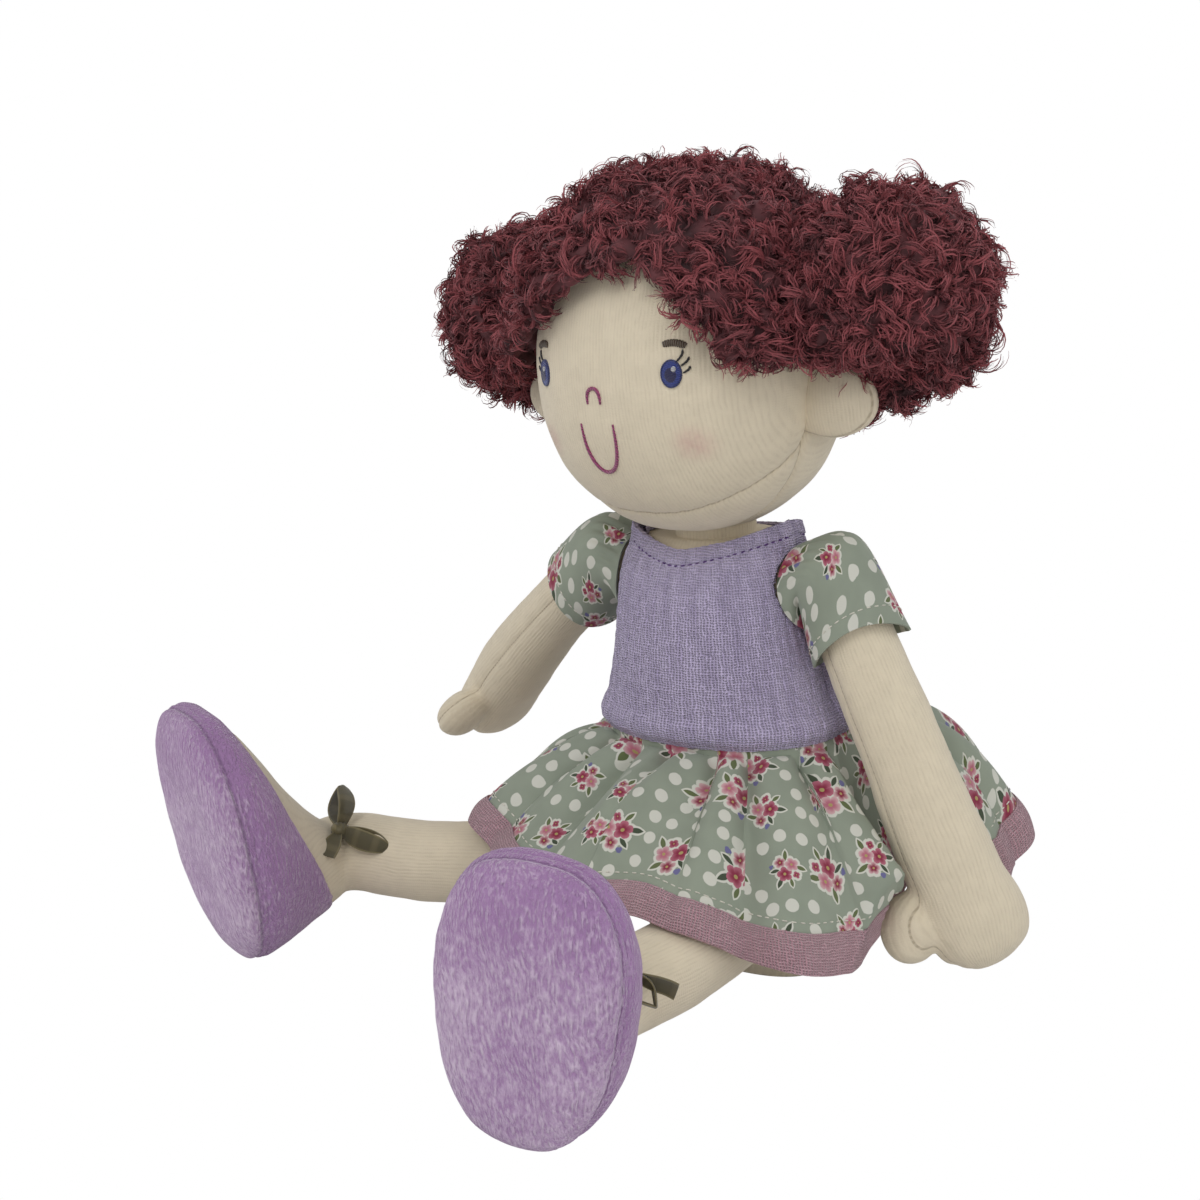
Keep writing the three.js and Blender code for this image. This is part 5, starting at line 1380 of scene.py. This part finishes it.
def ribbon(name, path, width_way, width, matrix, body, spread):
    """A band of ribbon along a path, drawn in where spread is low, with a little cup across it."""
    path = smooth_rows(path, 46)
    width = width * spread(np.linspace(0, 1, 46))[:, None]
    ahead = unit(np.gradient(path, axis=0))
    across = np.asarray(width_way, float)
    across = unit(across - ahead * (ahead @ across)[:, None])
    off = np.cross(ahead, across)
    cols = np.linspace(-1, 1, 13)
    points = path[:, None] + across[:, None] * (cols * width / 2)[..., None]
    points = points + off[:, None] * (0.5 * (cols**2 - 0.5))[None, :, None]
    obj = make(name, points.reshape(-1, 3), grid_faces(46, 13, False), matrix)
    run = np.cumsum(np.r_[0, np.linalg.norm(np.diff(path, axis=0), axis=1)])
    write(obj, "print", np.stack([np.tile(cols, 46), np.repeat(run, 13), np.zeros(46 * 13)], -1))
    thickened(obj, 0.35)
    return dress(obj, body, (), ribbon_olive)


BOW_Y, KNOT_TURN = 36.5, {"left": 60, "right": 52}
KNOT_HALVES, LOOP_WIDE, TAIL_WIDE = (3, 3.6, 2.6), 7.5, 6
# Each bow's loops and tails: the way it points from the knot, its length, and how flat it lies to the viewer
BOWS = {
    "left": (
        (("inner", (0.75, 0.25, -0.62), 13, 0.15), ("outer", (-0.8, 0.2, 0.45), 15, 1)),
        (("inner", (0.9, 0.25, -0.24), 16, 0.6), ("outer", (-0.7, 0.5, -0.3), 12, 1)),
    ),
    "right": (
        (("inner", (-0.57, 0, 0.82), 15, 0.5), ("outer", (0.85, 0.53, 0.05), 17, 1)),
        (("inner", (-0.7, 0.6, -0.1), 11, 0.8), ("outer", (0.55, -0.5, -0.6), 12, 0.9)),
    ),
}


def laid(way, flat, seen):
    """The way a ribbon runs, made one long, and the way its width faces."""
    way = unit(np.array(way, float))
    return way, unit(np.cross(seen, way) * flat + seen * (1 - flat))


def tied_bow(side):
    """A knot on the ankle, two loops and two tails."""
    ring = foot_ring_at(side, (BOW_Y - SEAM / 2) / FOOT_DEEP)
    x, _, z = ring[np.abs(FOOT_ANGLE - math.radians(KNOT_TURN[side])).argmin()]
    turned = math.radians(KNOT_TURN[side])
    knot_place = Vector((x, BOW_Y, z)) + Vector((math.cos(turned), 0, math.sin(turned))) * 2.2
    place = FOOT[side] @ Matrix.Translation(knot_place) @ rot("X", -38)
    knot, knot_faces = egg(*KNOT_HALVES, 2, 36, 24)
    knot[:, 2] += 0.25 * np.sin(knot[:, 1] * 3.5)
    centre = facing_out(make(f"bow_{side}_knot", knot, knot_faces, place, ribbon_olive))
    write(centre, "print", np.stack([knot[:, 1] / KNOT_HALVES[1], knot[:, 0], 0 * knot[:, 0]], -1))
    dress(centre, f"leg_{side}", [f"bow_{side}"])
    seen = np.array(place.to_3x3().inverted() @ back)
    loops, tails = BOWS[side]
    for which, way, reach, flat in loops:
        way, facing = laid(way, flat, seen)
        lift = unit(np.cross(way, facing))
        turn = np.linspace(-math.pi, math.pi, 17)
        out = 1.0 + reach * (1 + np.cos(turn)) / 2
        open_ = 2.3 * np.sin(turn) * (0.5 - 0.5 * np.cos(2 * turn)) + 0.8 * np.sin(turn)
        path = way * out[:, None] + lift * open_[:, None]
        spread = lambda t: 0.25 + 0.62 * np.abs(np.sin(TAU * t)) ** 1.1 + 0.02 * np.sin(math.pi * t)
        ribbon(f"bow_{side}_loop_{which}", path, facing, LOOP_WIDE, place, f"leg_{side}", spread)
    for which, way, reach, flat in tails:
        way, facing = laid(way, flat, seen)
        t = np.linspace(0, 1, 8)
        path = way * (reach * t)[:, None] + np.cross(way, facing) * (0.9 * np.sin(5 * t))[:, None]
        spread = lambda t: 0.3 + 0.7 * ease(t, 0, 0.7)
        ribbon(f"bow_{side}_tail_{which}", path, facing, TAIL_WIDE, place, f"leg_{side}", spread)


for side in SIGN:
    tied_bow(side)


# Skirt and hem band

WAIST_Z, TUCK, HEM_R, HEM_Z, HEM_OVER, BAND = 84, 7, 88, 29, 46, 9
# How much longer the cloth is than the hem's circle and than the straight way down, both guessed
WAVES, HANG = 1.12, 1.1
# Cloth that shows at the waist, in millimetres for each radian round the body
WAIST_CLOTH = 40
# How clear of the arms the skirt stays, and the half widths of an arm, a thumb and a hand
ARM_CLEAR, ARM_R, THUMB_R, HAND_R = 3.4, 12, 10.5, 16.5
presses = []
for turned in TURNED.values():
    line = lambda a, b: (np.array(turned @ Vector(a)), np.array(turned @ Vector(b)))
    wide = ARM_R * max(row[2] for row in ARM_SHARES)
    presses.append((*line((0, 0, 0), (0, 0, -ARM_LONG)), wide + ARM_CLEAR + COTTON))
    presses.append((*line((0, 0, THUMB[2]), THUMB), THUMB_R + ARM_CLEAR + COTTON))
    presses.append((*line((0, 1, -70), (0, 4.5, -112)), HAND_R + ARM_CLEAR))


def pressed_in(points):
    """Moves points towards the doll's middle until they clear the arms and thumbs, with a soft run-out."""
    for low, high, clear in presses:
        run = high - low
        t = np.clip(((points - low) @ run) / (run @ run), 0, 1)
        nearest = low + t[:, None] * run
        inward = unit(-nearest * [1, 1, 0])
        away = points - nearest
        along = np.einsum("ij,ij->i", away, inward)
        aside = np.sqrt(np.maximum(np.einsum("ij,ij->i", away, away) - along**2, 0))
        needed = np.sqrt(np.maximum(clear**2 - aside**2, 0)) - 0.35 * np.maximum(aside - clear, 0)
        beyond = ease(-along, 1.2 * clear, 2.4 * clear) * ease(aside, clear, 1.6 * clear)
        push = np.maximum(needed - along, 0) * (1 - beyond)
        points = points + inward * push[:, None]
    return points


# Gathers at the waist: where one pleat meets the next, in angles from the front, and how deep each is
SPLIT_LEG, SPLIT_SIDE = math.radians(35), math.radians(80)
pleat_rng = np.random.default_rng(5)
PLEATS = np.concatenate([
    start + (end - start) / count * np.r_[0, np.arange(1, count) + pleat_rng.uniform(-0.3, 0.3, count - 1)]
    for start, end, count in ((0, SPLIT_LEG, 2), (SPLIT_LEG, SPLIT_SIDE, 2), (SPLIT_SIDE, TAU, 15))
])
PLEAT_DEPTH = pleat_rng.uniform(0.5, 1.3, len(PLEATS))
PLEAT_RUN = pleat_rng.uniform(0.25, 0.8, len(PLEATS))


def pleated(angle, w):
    """The pleats' relief, and where on the flat cloth a point of the skirt lies, across."""
    turn = angle % TAU
    k = np.clip(np.searchsorted(PLEATS, turn, "right") - 1, 0, len(PLEATS) - 1)
    low, high = PLEATS[k], np.r_[PLEATS[1:], TAU][k]
    t = (turn - low) / (high - low)
    fade = np.minimum(w / 0.05, 1) * (0.25 + 0.75 * np.exp(-((w / PLEAT_RUN[k]) ** 2)))
    ridge = (0.55 - 1.9 * np.exp(-((np.minimum(t, 1 - t) / 0.17) ** 2))) * 2.6 * PLEAT_DEPTH[k] * fade
    middle = (low + high) / 2
    hem_cloth = HEM_R * 1.08
    around = middle * hem_cloth + (turn - middle) * (WAIST_CLOTH + (hem_cloth - WAIST_CLOTH) * w**0.9)
    return ridge, around


def skirt_point(angle, v, off=0.0):
    """The skirt's surface: angle from the front, v -1 to 0 under the bodice, 0 to 1 from there to the hem."""
    offset = SEAM + COTTON / 2 + SEAM / 4
    plan = angle - math.pi / 2
    waist = placed(torso_point(plan, WAIST_Z + 0 * plan, offset), UPPER)
    tucked = placed(torso_point(plan, WAIST_Z - TUCK + 0 * plan, offset), UPPER)
    blend = math.radians(44) / 2
    over = ease(angle, math.radians(-70) - blend, math.radians(-70) + blend)
    over = over * (1 - ease(angle, math.radians(31) - blend, math.radians(31) + blend))
    rise = (HEM_OVER - HEM_Z) * over
    beside = 6 * ease(angle, *np.radians([60, 100])) + 10 * ease(angle, *np.radians([100, 135]))
    rise = rise + beside * (1 - ease(angle, *np.radians([150, 178])))
    rise = rise - 7 * np.exp(-(((angle - math.radians(-8)) / math.radians(17)) ** 2))
    hem = np.stack([HEM_R * np.sin(angle), -HEM_R * np.cos(angle), HEM_Z + rise], -1)
    billow = ease(angle, *np.radians([75, 110])) * (1 - ease(angle, *np.radians([140, 177])))
    control = tucked + (hem - tucked) * (0.42 + 0.2 * billow)[:, None]
    control[:, 2] += 9 + 25 * billow
    w = np.clip(v, 0, 1)[:, None]
    a = tucked + (control - tucked) * w
    b = control + (hem - control) * w
    point = a + (b - a) * w
    radial = np.stack([np.sin(angle), -np.cos(angle), 0 * angle], -1)
    outward = unit(radial + [0, 0, 0.35])
    slope = (control - tucked) * (1 - w) + (hem - control) * w
    normal = unit(radial * -slope[:, 2:] + [0, 0, 1] * np.einsum("ij,ij->i", slope, radial)[:, None])
    wave = np.cos(15 * angle + 0.9 * np.sin(2 * angle) * w[:, 0])
    grown = 3.4 * w[:, 0] ** 0.8 * (1 - 0.45 * over)
    gather, _ = pleated(angle, w[:, 0])
    hang = np.sin(math.pi * w[:, 0])
    drape = (1.7 * np.sin(7 * angle + 1.3) + 1.1 * np.sin(12 * angle + 4 * w[:, 0])) * hang * (0.5 + over)
    point = point + outward * (wave * grown)[:, None] + normal * (gather * 1.15 + drape + off)[:, None]
    point = np.where((v <= 0)[:, None], waist + (tucked - waist) * (v[:, None] + 1), point)
    return pressed_in(point)


length = math.hypot(HEM_R - WIDE, WAIST_Z - HEM_Z)
BAND_SHARE = 1 - BAND / length
GORES = {
    "left_inner": (0, SPLIT_LEG),
    "left_outer": (SPLIT_LEG, SPLIT_SIDE),
    "main": (SPLIT_SIDE, TAU),
}


def run_down(points, rows):
    """How far each point of a cloth lies from its upper edge, along the cloth."""
    steps = np.linalg.norm(np.diff(points.reshape(rows, -1, 3), axis=0), axis=2)
    return np.vstack([0 * steps[:1], np.cumsum(steps, axis=0)]).ravel()


def run_round(points, rows, first):
    """How far each point of a round cloth lies from one of its columns, along the cloth."""
    grid = np.roll(points.reshape(rows, -1, 3), -first, axis=1)
    cols = grid.shape[1]
    steps = np.linalg.norm(np.diff(grid, axis=1, append=grid[:, :1]), axis=2)
    run = np.hstack([0 * steps[:, :1], np.cumsum(steps, axis=1)[:, :-1]])
    run = np.where(np.arange(cols) > cols // 2, run - steps.sum(1, keepdims=True), run)
    return np.roll(run, first, axis=1).ravel()


def follow(piece, part):
    """Ties the main stretch of the skirt to the torso, and leaves the other stretches where they lie, their
    place baked into their mesh.
    """
    if part == "main":
        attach(piece, "torso")
        return
    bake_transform(piece)


def gore(name, part, low, high, ply, material, node, slot_name, rows, off=0.0, puff=0.0):
    """One stretch of the skirt or of its band, between two angles and two heights."""
    start, end = GORES[part]
    cols = max(int((end - start) / TAU * 420), 12)
    angle, v = np.meshgrid(np.linspace(start, end, cols), np.linspace(low, high, rows))
    angle, v = angle.ravel(), v.ravel()
    wrapped = (angle + math.pi) % TAU - math.pi
    points = skirt_point(wrapped, v, off + puff * np.sin(math.pi * (v - low) / (high - low)))
    piece = make(name, points, grid_faces(rows, cols, False))
    _, around = pleated(np.minimum(angle, end - 1e-6), np.clip(v, 0, 1))
    write(piece, "print", np.stack([around, run_down(points, rows), 0 * v], -1))
    facing_out(piece)
    thickened(piece, ply)
    dress(piece, None, [node], material)
    follow(piece, part)
    drop = (high - max(low, 0)) * length + (TUCK if low < 0 else 0)
    narrow = (end - start) * WAIST_CLOTH if low < 0 else None
    width = (end - start) * HEM_R * WAVES
    declared_sheet(width, drop * HANG, narrow)


for part in GORES:
    gore(f"skirt_{part}", part, -1, BAND_SHARE + 0.01, 0.7, sage, "skirt", "sage_print", 60)
    band_cloth = (1.4, pink, "skirt_hem_band", "pink_gauze")
    gore(f"hem_band_{part}", part, BAND_SHARE - 0.005, 1, *band_cloth, 20, off=0.2, puff=0.9)
    start, end = GORES[part]
    turn = np.linspace(start + 0.01, end - 0.01, 500)
    wrapped = (turn + math.pi) % TAU - math.pi
    line = skirt_point(wrapped, 0 * turn + BAND_SHARE - 3 / length, 0.5)
    stitches = dashes(f"hem_{part}_stitches", line, 1.7, 1.0, 0.2, cream_stitch)
    dress(stitches, None)
    follow(stitches, part)


# Sleeves

# The radii of the sleeve's cap and of its hem, how far down the arm the hem is, and the sheet's size
CAP_R, SLEEVE_HEM_R, SLEEVE_DOWN, SLEEVE_WIDE, SLEEVE_DROP = 13.5, 15.3, 26, 96, 34


def armhole_point(sign, angle, off):
    """A point where the sleeve meets the bodice, in the upper body's frame."""
    grow = OFF + GAUZE + off
    y = (ARMHOLE_R + COTTON) * np.cos(angle)
    z = ARMHOLE_Z + (ARMHOLE_R + COTTON) * np.sin(angle)
    wide, deep = torso_halves(z - grow / 4)
    across = np.minimum(np.abs(y) / (deep + grow), 1)
    x = (wide + grow) * (1 - across**SQUARE) ** (1 / SQUARE)
    return np.stack([sign * x, y, z], -1)


def sleeve_points(side, angle, v):
    """The sleeve's plain form, from the armhole at v 0 to the hem at v 1, in the upper body's frame."""
    sign = SIGN[side]
    start = armhole_point(sign, angle, SEAM + COTTON)
    to_upper = UPPER.inverted() @ ARM[side]

    def ring_at(along, radius, outward, rise=0):
        across = sign * (radius * np.sin(angle) + outward)
        down = rise * np.maximum(np.cos(angle - math.radians(140)), 0) ** 1.5 - along
        return placed(np.stack([across, radius * np.cos(angle), down + 0 * angle], -1), to_upper)

    root = np.array([sign * SHOULDER_X, 0, SHOULDER_Z])
    upright = root + np.stack([0 * angle, CAP_R * np.cos(angle), CAP_R * np.sin(angle)], -1)
    middle = ring_at(3, CAP_R, 0) * 0.5 + upright * 0.5
    middle = root + unit(middle - root) * CAP_R
    end = ring_at(SLEEVE_DOWN, SLEEVE_HEM_R, 1.0, 7.5 if side == "left" else 3)
    t = np.clip(v, 0, 1)[:, None] * 2
    first = t <= 1
    f = np.where(first, t, t - 1)
    p0 = np.where(first, 2 * start - middle, start)
    p1 = np.where(first, start, middle)
    p2 = np.where(first, middle, end)
    p3 = np.where(first, end, 2 * end - middle)
    return between(p0, p1, p2, p3, f)


def sleeve_surface(side, angle, v, off=0.0):
    """The sleeve's surface in millimetres in the row frame, with its gathers at the armhole."""
    step = 1e-3
    p = sleeve_points(side, angle, v)
    du = sleeve_points(side, angle + step, v) - sleeve_points(side, angle - step, v)
    dv = sleeve_points(side, angle, v + step) - sleeve_points(side, angle, v - step)
    normal = unit(np.cross(du, dv)) * SIGN[side]
    top = ease(np.sin(angle), -0.2, 0.8)
    puff = 0.7 * np.cos(22 * angle) * top * ease(v, 0, 0.1) * (1 - ease(v, 0.1, 0.7))
    fold = 0.5 * np.sin(3 * angle + 4 * v) * ease(v, 0.3, 1)
    return placed(p, UPPER) + (normal @ np.array(UPPER.to_3x3()).T) * (puff + fold + off)[:, None]


def sewn_sleeve(side, sign):
    """A sleeve from the armhole at the shoulder to its hem round the arm, and its stitches."""
    cols, rows = 120, 34
    angle, v = np.meshgrid(np.linspace(0, TAU, cols, endpoint=False), np.linspace(0, 1, rows))
    angle, v = angle.ravel(), v.ravel()
    points = sleeve_surface(side, angle, v)
    piece = make(f"sleeve_{side}_cloth", points, grid_faces(rows, cols))
    outer = round(cols * 140 / 360)
    across, down = run_round(points, rows, outer) + 30, run_down(points, rows) + 47 * sign
    write(piece, "print", np.stack([across, down, 0 * v], -1))
    facing_out(piece)
    thickened(piece, 0.7)
    dress(piece, None, [f"sleeve_{side}"], sage)
    shoulder = ARM[side] @ Vector((0, 0, 6))
    hem = ARM[side] @ Vector((0, 0, -24))
    tuple(shoulder * MM)
    tuple(hem * MM)
    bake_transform(piece)
    declared_sheet(SLEEVE_WIDE, SLEEVE_DROP)
    turn = np.linspace(0, TAU, 200)
    line = sleeve_surface(side, turn, 0 * turn + 0.9, 0.45)
    stitches = dashes(f"sleeve_{side}_stitches", line, 1.6, 1.0, 0.2, cream_stitch)
    dress(stitches, None)
    tuple(shoulder * MM)
    tuple(hem * MM)
    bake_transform(stitches)


for side, sign in SIGN.items():
    sewn_sleeve(side, sign)


# Floor and light

FLOOR = 4000
floor_corners = [(-FLOOR, -FLOOR, 0), (FLOOR, -FLOOR, 0), (FLOOR, FLOOR, 0), (-FLOOR, FLOOR, 0)]
floor = make("floor", floor_corners, [(0, 1, 2, 3)])


def seen_plainly(tree):
    """1 for rays from the camera and for rays that gloss or glass sends on."""
    path = tree.nodes.new("ShaderNodeLightPath")
    total = path.outputs["Is Camera Ray"]
    for key in ("Is Glossy Ray", "Is Transmission Ray"):
        either = tree.nodes.new("ShaderNodeMath")
        either.operation = "MAXIMUM"
        tree.links.new(total, either.inputs[0])
        tree.links.new(path.outputs[key], either.inputs[1])
        total = either.outputs[0]
    return total


def white_to_camera(name):
    """A pale matt floor that the camera and mirror rays see as plain white."""
    material = bpy.data.materials.new(name)
    material.use_nodes = True
    tree = material.node_tree
    shader = tree.nodes["Principled BSDF"]
    shader.inputs["Base Color"].default_value = (0.8, 0.8, 0.8, 1)
    shader.inputs["Roughness"].default_value = 0.9
    white = tree.nodes.new("ShaderNodeEmission")
    mix = tree.nodes.new("ShaderNodeMixShader")
    tree.links.new(seen_plainly(tree), mix.inputs[0])
    tree.links.new(shader.outputs[0], mix.inputs[1])
    tree.links.new(white.outputs[0], mix.inputs[2])
    tree.links.new(mix.outputs[0], tree.nodes["Material Output"].inputs[0])
    return material


floor.data.materials.append(white_to_camera("floor"))

world = bpy.data.worlds.new("studio")
bpy.context.scene.world = world
world.use_nodes = True
nodes = world.node_tree.nodes
sky = nodes["Background"]
sky.inputs[0].default_value = (1, 1, 1, 1)
sky.inputs[1].default_value = 0.36
plain = nodes.new("ShaderNodeBackground")
plain.inputs[0].default_value = (1, 1, 1, 1)
plain.inputs[1].default_value = 1.0
either = nodes.new("ShaderNodeMixShader")
world.node_tree.links.new(seen_plainly(world.node_tree), either.inputs[0])
world.node_tree.links.new(sky.outputs[0], either.inputs[1])
world.node_tree.links.new(plain.outputs[0], either.inputs[2])
world.node_tree.links.new(either.outputs[0], nodes["World Output"].inputs[0])


def soft_light(name, place, target, size, power):
    data = bpy.data.lights.new(name, "AREA")
    data.size = size
    data.energy = power
    lamp = bpy.data.objects.new(name, data)
    lamp.location = place
    lamp.rotation_mode = "QUATERNION"
    lamp.rotation_quaternion = (Vector(target) - Vector(place)).to_track_quat("-Z", "Y")
    bpy.context.collection.objects.link(lamp)


soft_light("key", (0.15, -0.9, 0.95), (0, -0.03, 0.12), 0.7, 4.4)
soft_light("fill", (-0.9, -0.5, 0.5), (0, -0.03, 0.12), 0.8, 1.8)
soft_light("rim", (0.7, 0.6, 0.8), (0, 0, 0.15), 0.6, 2)
soft_light("side", (1.0, -0.35, 0.45), (0, -0.02, 0.14), 0.6, 1.7)
